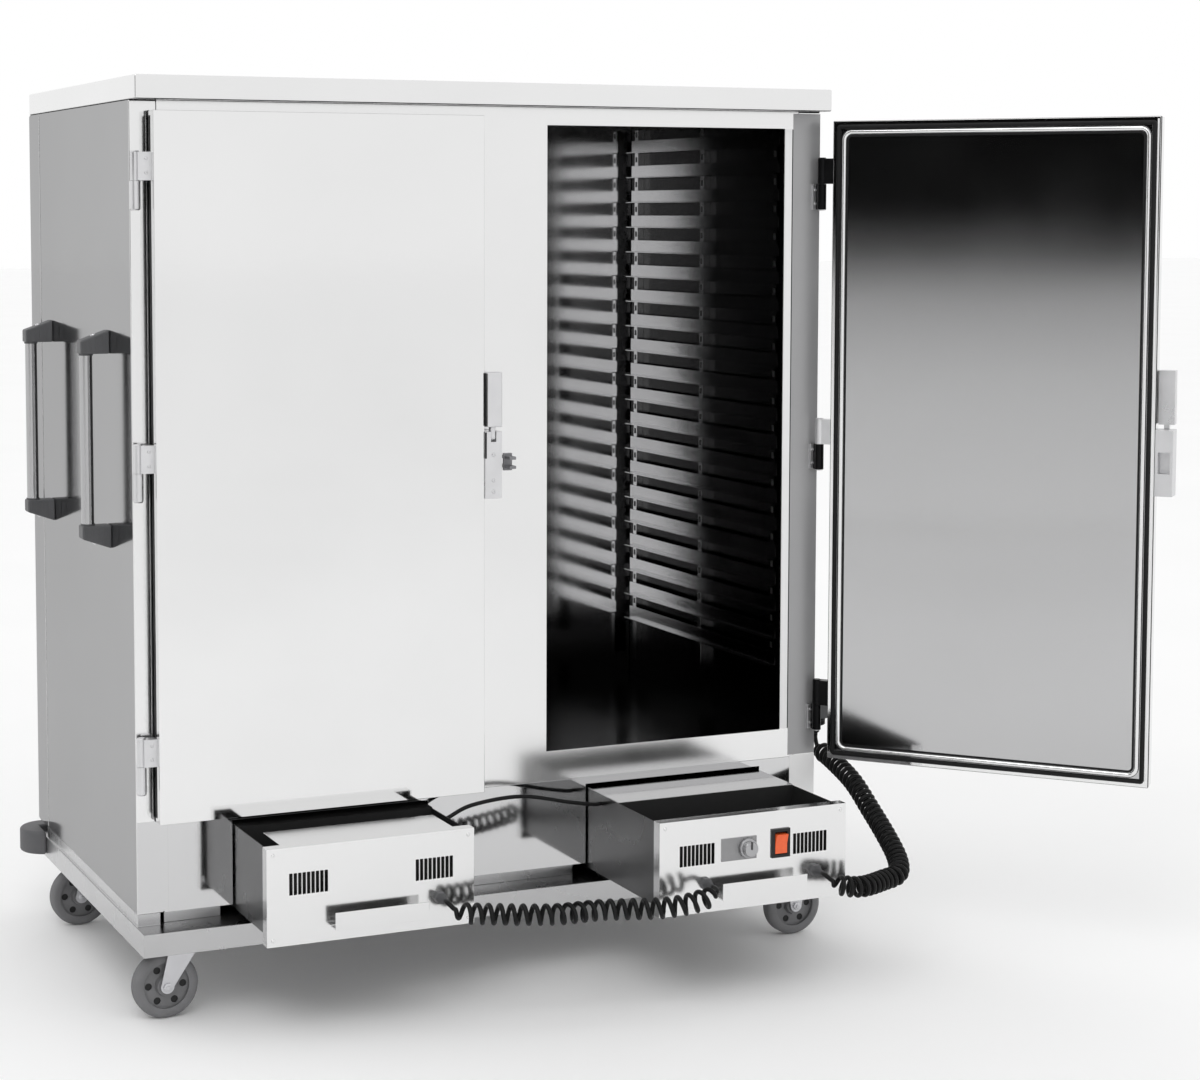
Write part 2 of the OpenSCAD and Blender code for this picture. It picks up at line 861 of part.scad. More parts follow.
// Curled wire round a curve: straight ends, curls between them
across = unit([1, 0, -1]);
function coil_ring(p, tab, total, lead, turns, s) =
  let (f = max(0, min(1, (s - lead) / (total - 2 * lead))),
    ramp = max(0, min(1, min(s - lead, total - lead - s) / 22)),
    c = at(p, tab, s),
    t = unit(at(p, tab, min(total, s + 1)) - at(p, tab, max(0, s - 1))),
    n = unit(cross(t, across)),
    b = cross(t, n),
    a = 360 * turns * f,
    e = cos(a) * n + sin(a) * b)
  [c + (coil_d - wire_d) / 2 * ramp * ramp * (3 - 2 * ramp) * e, e];
function coil_path(p, lead, turns, per) =
  let (tab = table(p), total = tab[steps][0], m = turns * per)
  concat([for (i = [0 : 3]) coil_ring(p, tab, total, lead, turns, i * lead / 4)],
    [for (i = [0 : m]) coil_ring(p, tab, total, lead, turns, lead + (total - 2 * lead) * i / m)],
    [for (i = [1 : 4]) coil_ring(p, tab, total, lead, turns, total - lead + i * lead / 4)]);

// Skins a list of places with round rings
module tube(path, r, sides) {
  n = len(path);
  rings = [for (i = [0 : n - 1])
    let (t = unit(path[min(n - 1, i + 1)][0] - path[max(0, i - 1)][0]),
      e = path[i][1],
      u = unit(e - (e * t) * t),
      v = cross(t, u))
    for (k = [0 : sides - 1])
      path[i][0] + r * (cos(360 * k / sides) * u + sin(360 * k / sides) * v)];
  walls = [for (i = [0 : n - 2]) for (k = [0 : sides - 1])
    let (a = i * sides + k, b = i * sides + (k + 1) % sides)
    for (f = [[a, a + sides, b + sides], [a, b + sides, b]]) f];
  start = [for (k = [1 : sides - 2]) [0, k, k + 1]];
  last = (n - 1) * sides;
  finish = [for (k = [1 : sides - 2]) [last, last + k + 1, last + k]];
  polyhedron(rings, concat(walls, start, finish), convexity = 10);
}

// Least distance between neighbouring curls of a wire
function least_gap(path) =
  let (n = len(path))
  min([for (i = [0 : n - 7]) for (j = [i + 6 : min(n - 1, i + 40)]) norm(path[i][0] - path[j][0])]) - wire_d;

// Way of the curly cord between the drawers
end_gap = 1.4;
link_a = [left_x + gland_b, left_front - gland_len - end_gap, gland_z];
link_b = [right_x + gland_a, right_front - gland_len - end_gap, gland_z];
link_way = [link_a, link_a + [0, -13, -1], link_a + [16, -30, -14], link_a + [66, -42, -20],
  (link_a + link_b) / 2 + [-70, -24, -24], (link_a + link_b) / 2 + [30, -28, -26],
  link_b + [-118, -10, -24], link_b + [-58, -28, -16], link_b + [-10, -26, -5], link_b + [0, -11, 0], link_b];
link_turns = 24;

// Way of the curly mains cord from the right drawer up to the plug
mains_a = [right_x + gland_b, right_front - gland_len - end_gap, gland_z];
mains_b = [park_x, park_y, park_z - 36 - end_gap];
mains_way = [mains_a, mains_a + [0, -13, -1], mains_a + [20, -30, -16], mains_a + [66, -34, -24],
  [half_w - 62, right_front - 36, gland_z - 26], [half_w - 18, right_front - 18, gland_z - 22],
  [half_w + 12, right_front + 30, gland_z - 8], [half_w + 28, right_front + 95, gland_z + 20],
  [half_w + 40, right_front + 175, gland_z + 56], [half_w + 47, right_front + 255, floor_z - 46],
  mains_b + [2, -64, -44], mains_b + [0, -14, -30], mains_b + [0, 0, -12], mains_b];
mains_turns = 43;

// Way of the plain cable between the trays
cable_a = [left_x + tray_w / 2 + 0.75 * end_gap, front_y - 62, tray_z1 - 16];
cable_b = [right_x - tray_w / 2 - 0.75 * end_gap, front_y - 62, tray_z1 - 18];
cable_way = [cable_a, cable_a + [16, 0, 1], cable_a + [70, 0, 22], (cable_a + cable_b) / 2 + [0, 0, 30],
  cable_b + [-70, 0, 10], cable_b + [-16, 0, 0], cable_b];

// Curly cord from drawer to drawer
module link_cord() {
  path = coil_path(link_way, 26, link_turns, 8);
  echo(link_cord_least_gap = least_gap(path));
  color("black") tube(path, wire_d / 2, 6);
}

// Curly mains cord
module mains_cord() {
  path = coil_path(mains_way, 26, mains_turns, 8);
  echo(mains_cord_least_gap = least_gap(path));
  color("black") tube(path, wire_d / 2, 6);
}

// Plain cable from tray to tray
module drawer_cable() {
  color("black") tube([for (i = [0 : 24]) [curve(cable_way, i / 4), [0, 1, 0]]], 4, 8);
}

lid();
left_wall();
right_wall();
back_wall();
partition();
compartment_floor();
insulation();
face_frame();
lower_front_panel();
chassis();
left_racks();
right_racks();
push_handle_brackets();
push_handle_grips();
cabinet_hinges();
latch_keepers();
parking_socket();
corner_bumpers();
fixed_caster_forks();
link_cord();
mains_cord();
mains_plug();
drawer_cable();
left_door_pan();
left_door_core();
left_door_liner();
left_door_gasket();
left_door_hinges();
left_latch_body();
left_latch_lever();
right_door_pan();
right_door_core();
right_door_liner();
right_door_gasket();
right_door_hinges();
right_latch_body();
right_latch_lever();
left_drawer_tray();
left_drawer_front();
left_drawer_cover();
left_heater();
left_fan_motor();
left_fan();
left_cord_gland();
right_drawer_tray();
right_drawer_front();
right_drawer_cover();
right_heater();
right_fan_motor();
right_fan();
right_cord_glands();
switch_bezel();
switch_rocker();
thermostat_knob();
front_swivel_fork();
rear_swivel_fork();
front_left_wheel();
rear_left_wheel();
front_right_wheel();
rear_right_wheel();
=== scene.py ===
"""Looks of a mobile insulated food cabinet with two doors and two heating drawers."""

import json
import math

import bmesh
import bpy
from mathutils import Matrix, Vector


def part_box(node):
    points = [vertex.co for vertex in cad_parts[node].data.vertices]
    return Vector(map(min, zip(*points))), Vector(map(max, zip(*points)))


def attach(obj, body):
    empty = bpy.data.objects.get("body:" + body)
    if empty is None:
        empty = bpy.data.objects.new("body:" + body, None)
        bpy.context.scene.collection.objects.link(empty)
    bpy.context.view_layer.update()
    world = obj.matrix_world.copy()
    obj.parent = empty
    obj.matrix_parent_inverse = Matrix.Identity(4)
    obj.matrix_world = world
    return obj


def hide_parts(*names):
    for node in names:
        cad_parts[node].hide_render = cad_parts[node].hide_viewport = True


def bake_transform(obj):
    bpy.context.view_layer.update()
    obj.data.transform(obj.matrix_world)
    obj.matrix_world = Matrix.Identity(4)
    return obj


MM = 0.001
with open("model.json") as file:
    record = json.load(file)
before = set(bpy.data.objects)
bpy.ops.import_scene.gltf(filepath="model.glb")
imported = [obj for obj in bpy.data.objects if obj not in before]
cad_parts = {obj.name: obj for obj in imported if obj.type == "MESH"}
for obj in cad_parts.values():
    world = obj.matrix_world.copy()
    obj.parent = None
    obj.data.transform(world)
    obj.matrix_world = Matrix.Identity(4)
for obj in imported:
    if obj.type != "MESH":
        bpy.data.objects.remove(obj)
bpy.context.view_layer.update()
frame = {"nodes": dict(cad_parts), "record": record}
nodes = frame["nodes"]
record = frame["record"]
body_of_node = {node: body for body, members in record["behaviour"]["bodies"].items() for node in members}
slot_of_node = {subpart["node"]: subpart["material_slot"] for subpart in record["subparts"]}
scene = bpy.context.scene

# Camera
YAW = math.radians(23.4)
PITCH = math.radians(4.4)
camera_data = bpy.data.cameras.new("camera")
camera_data.sensor_width = 36.0
camera_data.lens = 73.3
camera_data.shift_x = 0.0917
camera_data.shift_y = -0.1167
camera_data.clip_end = 200.0
camera = bpy.data.objects.new("camera", camera_data)
camera.location = (-1.899, -4.761, 1.508)
forward = Vector((math.sin(YAW) * math.cos(PITCH), math.cos(YAW) * math.cos(PITCH), -math.sin(PITCH)))
camera.rotation_euler = forward.to_track_quat("-Z", "Y").to_euler()
scene.collection.objects.link(camera)
scene.camera = camera

# Materials
CLOUD_LOW, CLOUD_HIGH = 0.3, 0.7
CLOUD_DETAIL, GRAIN_DETAIL = 5.0, 3.0
GRAIN_DEPTH = 0.0005
LEAST_ROUGH = 0.02


def add_node(tree, kind, **values):
    """New shader node, with its inputs set by name and _ written for a space."""
    node = tree.nodes.new(kind)
    for name, value in values.items():
        node.inputs[name.replace("_", " ")].default_value = value
    return node


def surface(name, colour, metallic, rough, tint=0.06, spread=0.05, scale=6.0, stretch=(1, 1, 1),
            grain=0.0, grain_scale=300.0, shine=0.5, edge=1.0, painted_shades=()):
    """A procedural surface: cloudy colour and roughness, with a fine grain in the normal.

    A painted shade (axis, dark place, light place, share) darkens it along an axis, with its places in
    metres.
    """
    mat = bpy.data.materials.new(name)
    mat.use_nodes = True
    tree = mat.node_tree
    link = tree.links.new
    shader = tree.nodes["Principled BSDF"]
    shader.inputs["Metallic"].default_value = metallic
    shader.inputs["Specular IOR Level"].default_value = shine
    shader.inputs["Specular Tint"].default_value = (edge, edge, edge, 1.0)
    place = tree.nodes.new("ShaderNodeTexCoord").outputs["Object"]
    cloud = add_node(tree, "ShaderNodeTexNoise", Scale=scale, Detail=CLOUD_DETAIL)
    link(place, cloud.inputs["Vector"])
    ramp = tree.nodes.new("ShaderNodeValToRGB")
    stops = ((CLOUD_LOW, 1 - tint), (CLOUD_HIGH, 1 + tint))
    for stop, (position, share) in zip(ramp.color_ramp.elements, stops):
        stop.position = position
        stop.color = tuple(min(1.0, part * share) for part in colour) + (1.0,)
    link(cloud.outputs["Fac"], ramp.inputs["Fac"])
    colour_out = ramp.outputs["Color"]
    # Each painted shade darkens the colour along an axis of the object
    for axis, dark, light, share in painted_shades:
        split = tree.nodes.new("ShaderNodeSeparateXYZ")
        link(place, split.inputs["Vector"])
        depth = add_node(tree, "ShaderNodeMapRange", From_Min=dark, From_Max=light, To_Min=share)
        depth.interpolation_type = "SMOOTHSTEP"
        link(split.outputs[axis], depth.inputs["Value"])
        darken = tree.nodes.new("ShaderNodeVectorMath")
        darken.operation = "SCALE"
        link(colour_out, darken.inputs["Vector"])
        link(depth.outputs["Result"], darken.inputs["Scale"])
        colour_out = darken.outputs["Vector"]
    link(colour_out, shader.inputs["Base Color"])
    wear = add_node(tree, "ShaderNodeMapRange", From_Min=CLOUD_LOW, From_Max=CLOUD_HIGH,
                    To_Min=max(LEAST_ROUGH, rough - spread), To_Max=min(1.0, rough + spread))
    link(cloud.outputs["Fac"], wear.inputs["Value"])
    link(wear.outputs["Result"], shader.inputs["Roughness"])
    if grain > 0:
        mapping = add_node(tree, "ShaderNodeMapping", Scale=stretch)
        link(place, mapping.inputs["Vector"])
        fine = add_node(tree, "ShaderNodeTexNoise", Scale=grain_scale, Detail=GRAIN_DETAIL)
        link(mapping.outputs["Vector"], fine.inputs["Vector"])
        bump = add_node(tree, "ShaderNodeBump", Strength=grain, Distance=GRAIN_DEPTH)
        link(fine.outputs["Fac"], bump.inputs["Height"])
        link(bump.outputs["Normal"], shader.inputs["Normal"])
    return mat


# Sheet steel has its grain drawn out upright
UPRIGHT = (1.0, 1.0, 0.02)
SHEET = dict(tint=0.02, spread=0.03, scale=2.5, stretch=UPRIGHT, grain=0.02, grain_scale=400.0)
BACK = dict(tint=0.03, spread=0.03, scale=4.0, stretch=UPRIGHT, grain=0.02, grain_scale=500.0)
steel = surface("polished_steel", (0.80, 0.80, 0.80), 1.0, 0.16, tint=0.02, spread=0.04, scale=3.0,
                stretch=UPRIGHT, grain=0.03, grain_scale=500.0)
mirror_steel = surface("mirror_steel", (0.80, 0.80, 0.80), 1.0, 0.06, **SHEET)
panel_steel = surface("panel_steel", (0.62, 0.62, 0.625), 1.0, 0.06, **SHEET)
side_steel = surface("side_steel", (0.6, 0.6, 0.605), 1.0, 0.1, edge=0.55, **SHEET)
liner_steel = surface("liner_steel", (0.5, 0.5, 0.505), 1.0, 0.09, **SHEET)
back_steel = surface("back_steel", (0.46, 0.46, 0.465), 1.0, 0.1, **BACK)
# Inside of the back wall, with painted shade darkening it below 0.62 m down to 8% at 0.46 m
rear_steel_painted_shade = surface("rear_steel_painted_shade", (0.46, 0.46, 0.465), 1.0, 0.1, painted_shades=(("Z", 0.46, 0.62, 0.08),), **BACK)
# Darker, duller copy of the steel as painted shade
shade_steel = surface("shade_steel", (0.36, 0.36, 0.365), 0.5, 0.34, tint=0.04, spread=0.05, scale=6.0,
                      stretch=UPRIGHT, grain=0.04, grain_scale=500.0)
# Near-black steel as painted shade for the inside of the cabinet
inner_steel_painted_shade = surface("inner_steel_painted_shade", (0.016, 0.016, 0.0165), 1.0, 0.2, tint=0.06, spread=0.05, scale=4.0,
                      stretch=UPRIGHT, grain=0.03, grain_scale=500.0)
# Lighter, duller copy of the steel as painted highlight
painted_highlight_steel = surface("painted_highlight_steel", (0.84, 0.84, 0.84), 0.3, 0.42, tint=0.03, spread=0.05, scale=10.0,
                       stretch=UPRIGHT, grain=0.03, grain_scale=500.0)
tray_steel = surface("tray_steel", (0.17, 0.17, 0.172), 1.0, 0.28, tint=0.06, spread=0.06, scale=8.0,
                     grain=0.04, grain_scale=500.0)
# Slide steel with painted shade: darker towards the front below y 0.07 m and low down below z 0.57 m
rack_steel_painted_shade = surface("rack_steel_painted_shade", (0.82, 0.82, 0.825), 1.0, 0.15, tint=0.04, spread=0.04, scale=8.0,
                     grain=0.02, grain_scale=500.0,
                     painted_shades=(("Y", -0.09, 0.07, 0.06), ("Z", 0.49, 0.57, 0.06)))
# Darker copy of the slide steel, painted shade on the side of the partition
partition_side_painted_shade = surface("partition_side_painted_shade", (0.08, 0.08, 0.081), 1.0, 0.25, tint=0.04, spread=0.05, scale=8.0,
                    grain=0.03, grain_scale=500.0)
frame_steel = surface("frame_steel", (0.52, 0.52, 0.525), 1.0, 0.26, tint=0.04, spread=0.08, scale=8.0,
                      grain=0.04, grain_scale=400.0)
fork_steel = surface("fork_steel", (0.62, 0.62, 0.64), 0.9, 0.36, tint=0.06, spread=0.08, scale=14.0,
                     grain=0.06, grain_scale=500.0)
cast_metal = surface("cast_metal", (0.66, 0.66, 0.67), 0.9, 0.34, tint=0.05, spread=0.08, scale=20.0,
                     grain=0.08, grain_scale=700.0)
# Near-black metal as painted shade on the right hinges
shaded_hinge_metal = surface("shaded_hinge_metal", (0.012, 0.012, 0.0125), 1.0, 0.36, tint=0.1, spread=0.06, scale=30.0,
                      grain=0.06, grain_scale=900.0)
heater_metal = surface("heater_metal", (0.2, 0.19, 0.18), 1.0, 0.5, tint=0.15, spread=0.1, scale=40.0,
                       grain=0.1, grain_scale=600.0)
motor_metal = surface("motor_metal", (0.24, 0.24, 0.25), 0.7, 0.5, tint=0.1, spread=0.1, scale=30.0,
                      grain=0.12, grain_scale=500.0)
fan_metal = surface("fan_metal", (0.6, 0.6, 0.6), 1.0, 0.4, tint=0.06, spread=0.1, scale=30.0,
                    grain=0.05, grain_scale=500.0)
plate_grey = surface("plate_grey", (0.29, 0.29, 0.295), 0.6, 0.4, tint=0.05, spread=0.06, scale=40.0,
                     grain=0.05, grain_scale=800.0)
knob_silver = surface("knob_silver", (0.42, 0.42, 0.43), 0.8, 0.32, tint=0.04, spread=0.06, scale=50.0,
                      grain=0.04, grain_scale=900.0)
foam = surface("foam", (0.82, 0.74, 0.5), 0.0, 0.9, tint=0.08, spread=0.05, scale=40.0,
               grain=0.3, grain_scale=600.0)
dark_plastic = surface("dark_plastic", (0.075, 0.076, 0.08), 0.0, 0.48, tint=0.1, spread=0.08, scale=30.0,
                       grain=0.15, grain_scale=900.0)
black_plastic = surface("black_plastic", (0.014, 0.014, 0.0145), 0.0, 0.34, tint=0.1, spread=0.06,
                        scale=30.0, grain=0.06, grain_scale=900.0, shine=0.3)
rocker_plastic = surface("rocker_plastic", (0.86, 0.13, 0.035), 0.0, 0.24, tint=0.08, spread=0.05,
                         scale=60.0, grain=0.03, grain_scale=900.0)
mark_paint = surface("mark_paint", (0.05, 0.05, 0.05), 0.0, 0.5, tint=0.1, spread=0.05, scale=60.0)
# Near-black as painted shade for the dark inside of the drawers
tray_painted_shade = surface("tray_painted_shade", (0.007, 0.007, 0.0072), 0.0, 0.7, tint=0.12, spread=0.1, scale=14.0,
                    grain=0.12, grain_scale=500.0)
bumper_rubber = surface("bumper_rubber", (0.10, 0.10, 0.105), 0.0, 0.62, tint=0.12, spread=0.08, scale=25.0,
                        grain=0.2, grain_scale=700.0)
gasket_rubber = surface("gasket_rubber", (0.008, 0.008, 0.0083), 0.0, 0.6, tint=0.12, spread=0.08,
                        scale=25.0, grain=0.1, grain_scale=700.0, shine=0.2)
cord_rubber = surface("cord_rubber", (0.007, 0.007, 0.0072), 0.0, 0.4, tint=0.12, spread=0.08, scale=40.0,
                      grain=0.1, grain_scale=900.0, shine=0.16)
wheel_rubber = surface("wheel_rubber", (0.16, 0.16, 0.165), 0.0, 0.6, tint=0.12, spread=0.1, scale=30.0,
                       grain=0.15, grain_scale=600.0)
wheel_core = surface("wheel_core", (0.16, 0.16, 0.165), 0.0, 0.46, tint=0.08, spread=0.08, scale=30.0,
                     grain=0.1, grain_scale=800.0)

SLOT_LOOK = {
    "polished_steel": steel, "liner_steel": inner_steel_painted_shade, "frame_steel": frame_steel,
    "hinge_metal": cast_metal, "foam": foam, "dark_plastic": dark_plastic,
    "black_plastic": black_plastic, "rocker_plastic": rocker_plastic,
    "bumper_rubber": bumper_rubber, "gasket_rubber": gasket_rubber, "cord_rubber": cord_rubber,
    "wheel_rubber": wheel_rubber, "tray_metal": tray_painted_shade, "heater_metal": heater_metal,
    "motor_metal": motor_metal, "fan_metal": fan_metal,
}

# Mesh helpers
WELD = 2e-5
FLAT_WITHIN = math.radians(1.0)
OUT_FRONT = (0, -1, 0)
# Radius and height of a pan head with a socket, in shares of its radius
SCREW_HEAD = ((0, 0.15), (0.42, 0.15), (0.46, 0.5), (0.8, 0.44), (1, 0.2), (1, -0.3))


def vec(x, y, z):
    """Short name for a vector."""
    return Vector((x, y, z))


def move(x, y, z):
    """Shift by millimetres."""
    return Matrix.Translation(vec(x, y, z) * MM)


def finish_piece(name, bm, looks, body, replaced=(), sharp=40.0):
    """Turns a bmesh into a piece that rides on a body and stands for the named nodes."""
    bm.normal_update()
    limit = math.radians(sharp)
    for face in bm.faces:
        face.smooth = True
    for edge in bm.edges:
        edge.smooth = len(edge.link_faces) == 2 and edge.calc_face_angle(0.0) < limit
    mesh = bpy.data.meshes.new(name)
    bm.to_mesh(mesh)
    bm.free()
    for look in looks:
        mesh.materials.append(look)
    piece = bpy.data.objects.new(name, mesh)
    scene.collection.objects.link(piece)
    if body:
        flat = piece.modifiers.new("flat_faces", "WEIGHTED_NORMAL")
        flat.weight = 100
        flat.keep_sharp = True
        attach(piece, body)
    if replaced:
        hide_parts(*replaced)
    return piece


def join(bm, part, look=0, place=None):
    """Adds one bmesh to another."""
    if place is not None:
        bmesh.ops.transform(part, matrix=place, verts=part.verts)
        if place.determinant() < 0:
            bmesh.ops.reverse_faces(part, faces=part.faces)
    for face in part.faces:
        face.material_index = look
    scrap = bpy.data.meshes.new("scrap")
    part.to_mesh(scrap)
    part.free()
    bm.from_mesh(scrap)
    bpy.data.meshes.remove(scrap)


def round_edges(bm, edges, width, segments):
    """Rounds edges by a width in metres."""
    bmesh.ops.bevel(bm, geom=edges, offset=width, segments=segments, profile=0.5, affect="EDGES",
                    clamp_overlap=True)


def add_box(bm, low, high, edge=1.0, segments=2, look=0, place=None):
    """Box between two corners in millimetres with rounded edges."""
    low = Vector(low) * MM
    high = Vector(high) * MM
    size = high - low
    part = bmesh.new()
    shape = Matrix.Translation((low + high) / 2) @ Matrix.Diagonal((size.x, size.y, size.z, 1.0))
    bmesh.ops.create_cube(part, size=1.0, matrix=shape)
    width = min(edge * MM, min(size) * 0.45)
    if width > 0:
        round_edges(part, part.edges[:], width, segments)
    join(bm, part, look, place)


def add_lathe(bm, profile, place, count=40, look=0):
    """Turns radius and height pairs in millimetres about Z."""
    part = bmesh.new()
    rings = []
    for radius, height in profile:
        if radius < 1e-6:
            rings.append([part.verts.new((0, 0, height * MM))])
            continue
        ring = []
        for k in range(count):
            angle = 2 * math.pi * k / count
            spot = (radius * MM * math.cos(angle), radius * MM * math.sin(angle), height * MM)
            ring.append(part.verts.new(spot))
        rings.append(ring)
    for low, high in zip(rings, rings[1:]):
        for k in range(count):
            n = (k + 1) % count
            corners = [low[k % len(low)], low[n % len(low)], high[n % len(high)], high[k % len(high)]]
            unique = []
            for corner in corners:
                if corner not in unique:
                    unique.append(corner)
            if len(unique) > 2:
                part.faces.new(unique)
    bmesh.ops.recalc_face_normals(part, faces=part.faces)
    join(bm, part, look, place)


def aim(x, y, z, direction):
    """Place at a point in millimetres whose Z axis looks along a direction."""
    return move(x, y, z) @ Vector(direction).to_track_quat("Z", "Y").to_matrix().to_4x4()


def add_screw(bm, x, y, z, direction, radius=4.0, look=0, place=None):
    """Pan head screw with a socket."""
    spot = aim(x, y, z, direction)
    profile = [(a * radius, h * radius) for a, h in SCREW_HEAD]
    add_lathe(bm, profile, spot if place is None else place @ spot, 14, look)


def add_sweep(bm, path, profile, look=0, place=None):
    """Skins a closed loop of places (point, outward, up) with a closed profile (out, up) in millimetres."""
    part = bmesh.new()
    rings = []
    for point, outward, up in path:
        rings.append([part.verts.new((point + outward * a + up * b) * MM) for a, b in profile])
    count = len(profile)
    for i, low in enumerate(rings):
        high = rings[(i + 1) % len(rings)]
        for k in range(count):
            n = (k + 1) % count
            part.faces.new((low[k], low[n], high[n], high[k]))
    bmesh.ops.recalc_face_normals(part, faces=part.faces)
    join(bm, part, look, place)


def rounded_loop(x0, z0, x1, z1, radius, y, steps=8):
    """Places round a rounded rectangle in the X and Z plane, looking to +Y."""
    path = []
    corners = ((x1 - radius, z1 - radius, 0), (x0 + radius, z1 - radius, 90),
               (x0 + radius, z0 + radius, 180), (x1 - radius, z0 + radius, 270))
    for cx, cz, first in corners:
        for i in range(steps + 1):
            angle = math.radians(first + 90.0 * i / steps)
            outward = vec(math.cos(angle), 0, math.sin(angle))
            path.append((vec(cx, y, cz) + outward * radius, outward, vec(0, 1, 0)))
    return path


def welded_copy(node):
    """Copy of a node's mesh with its doubled points joined."""
    bm = bmesh.new()
    bm.from_mesh(nodes[node].data)
    bmesh.ops.remove_doubles(bm, verts=bm.verts, dist=WELD)
    return bm


def soften(node, width=1.0, segments=2, look=None, extra=None, extra_looks=()):
    """Stands a copy with rounded edges in a node's place, with an optional builder of details."""
    bm = welded_copy(node)
    bmesh.ops.dissolve_limit(bm, angle_limit=FLAT_WITHIN, verts=bm.verts, edges=bm.edges)
    limit = math.radians(30.0)
    sharp = [e for e in bm.edges if len(e.link_faces) == 2 and e.calc_face_angle(0.0) > limit]
    round_edges(bm, sharp, width * MM, segments)
    for face in bm.faces:
        face.material_index = 0
    if extra is not None:
        extra(bm)
    slot = slot_of_node[node]
    looks = [look or SLOT_LOOK[slot]] + list(extra_looks)
    return finish_piece(node + "_piece", bm, looks, body_of_node[node], (node,))


# Cords, from the same routes as the solids, in millimetres
HALF_W = 728.0
FRONT_Y = -400.0
FLOOR_Z = 376.0
LEFT_X, RIGHT_X = -343.0, 397.0
LEFT_FRONT, RIGHT_FRONT = -620.0, -732.0
DRAWER_W, TRAY_W, TRAY_TOP = 408.0, 392.0, 354.0
GLAND_Z = 234.0
GLAND_A, GLAND_B = -DRAWER_W / 2 + 98, -DRAWER_W / 2 + 338
GLAND_LEN = 30.0
PLUG_NECK = 36
PARK = vec(778.0, -322.0, 438.0)
WIRE_D, COIL_D, CABLE_D = 9.0, 42.0, 8.0
END_GAP = 1.4
COIL_LEAD, COIL_RAMP, LEAD_STEPS = 26, 22, 8
LINK_TURNS, MAINS_TURNS = 24, 43
CURVE_STEPS, CABLE_STEPS = 240, 48
PER_CURL = 24
WIRE_SIDES, CABLE_SIDES = 10, 14
ACROSS = vec(1, 0, -1).normalized()


def curve_at(points, u):
    """Smooth curve through points, at a place given by point number."""
    i = min(int(math.floor(u)), len(points) - 2)
    t = u - i
    a, b = points[max(0, i - 1)], points[i]
    c, d = points[i + 1], points[min(len(points) - 1, i + 2)]
    bend = (2 * a - 5 * b + 4 * c - d) * t * t + (3 * b - a - 3 * c + d) * t ** 3
    return 0.5 * (2 * b + (c - a) * t + bend)


class Way:
    """A curve that is asked for by its running length."""

    def __init__(self, points):
        self.points = points
        self.last = len(points) - 1
        self.sums = [0.0]
        before = points[0]
        for i in range(1, CURVE_STEPS + 1):
            here = curve_at(points, i * self.last / CURVE_STEPS)
            self.sums.append(self.sums[-1] + (here - before).length)
            before = here
        self.total = self.sums[-1]

    def at(self, s):
        """Point at a running length."""
        s = max(0.0, min(self.total, s))
        low, high = 0, CURVE_STEPS
        while high - low > 1:
            mid = (low + high) // 2
            if self.sums[mid] <= s:
                low = mid
            else:
                high = mid
        part = (s - self.sums[low]) / max(1e-9, self.sums[high] - self.sums[low])
        return curve_at(self.points, (low + part) * self.last / CURVE_STEPS)


def coil_ring(way, turns, s):
    """Centre of the curled wire and the way it leans, at one running length."""
    share = max(0.0, min(1.0, (s - COIL_LEAD) / (way.total - 2 * COIL_LEAD)))
    ramp = max(0.0, min(1.0, min(s - COIL_LEAD, way.total - COIL_LEAD - s) / COIL_RAMP))
    along = (way.at(s + 1) - way.at(s - 1)).normalized()
    side = along.cross(ACROSS).normalized()
    other = along.cross(side)
    angle = 2 * math.pi * turns * share
    lean = math.cos(angle) * side + math.sin(angle) * other
    return way.at(s) + (COIL_D - WIRE_D) / 2 * ramp * ramp * (3 - 2 * ramp) * lean, lean


def coil_path(points, turns):
    """Centres and leans of a curly cord with a straight lead at each end."""
    way = Way(points)
    count = turns * PER_CURL
    step = COIL_LEAD / LEAD_STEPS
    places = [i * step for i in range(LEAD_STEPS)]
    places += [COIL_LEAD + (way.total - 2 * COIL_LEAD) * i / count for i in range(count + 1)]
    places += [way.total - COIL_LEAD + i * step for i in range(1, LEAD_STEPS + 1)]
    return [coil_ring(way, turns, s) for s in places]


def tube_mesh(path, radius, sides):
    """Skins a list of centres and leans with round rings."""
    bm = bmesh.new()
    rings = []
    for i, (centre, lean) in enumerate(path):
        along = (path[min(len(path) - 1, i + 1)][0] - path[max(0, i - 1)][0]).normalized()
        u = (lean - lean.dot(along) * along).normalized()
        w = along.cross(u)
        ring = []
        for k in range(sides):
            angle = 2 * math.pi * k / sides
            ring.append(bm.verts.new((centre + radius * (math.cos(angle) * u + math.sin(angle) * w)) * MM))
        rings.append(ring)
    for low, high in zip(rings, rings[1:]):
        for k in range(sides):
            n = (k + 1) % sides
            bm.faces.new((low[k], low[n], high[n], high[k]))
    bm.faces.new(list(reversed(rings[0])))
    bm.faces.new(rings[-1])
    return bm


def make_cord(name, path, radius, sides, replaced):
    """A cord drawn along its way from one body to the next."""
    bm = tube_mesh(path, radius, sides)
    piece = finish_piece(name, bm, [cord_rubber], None, replaced, sharp=80.0)
    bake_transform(piece)
    return piece


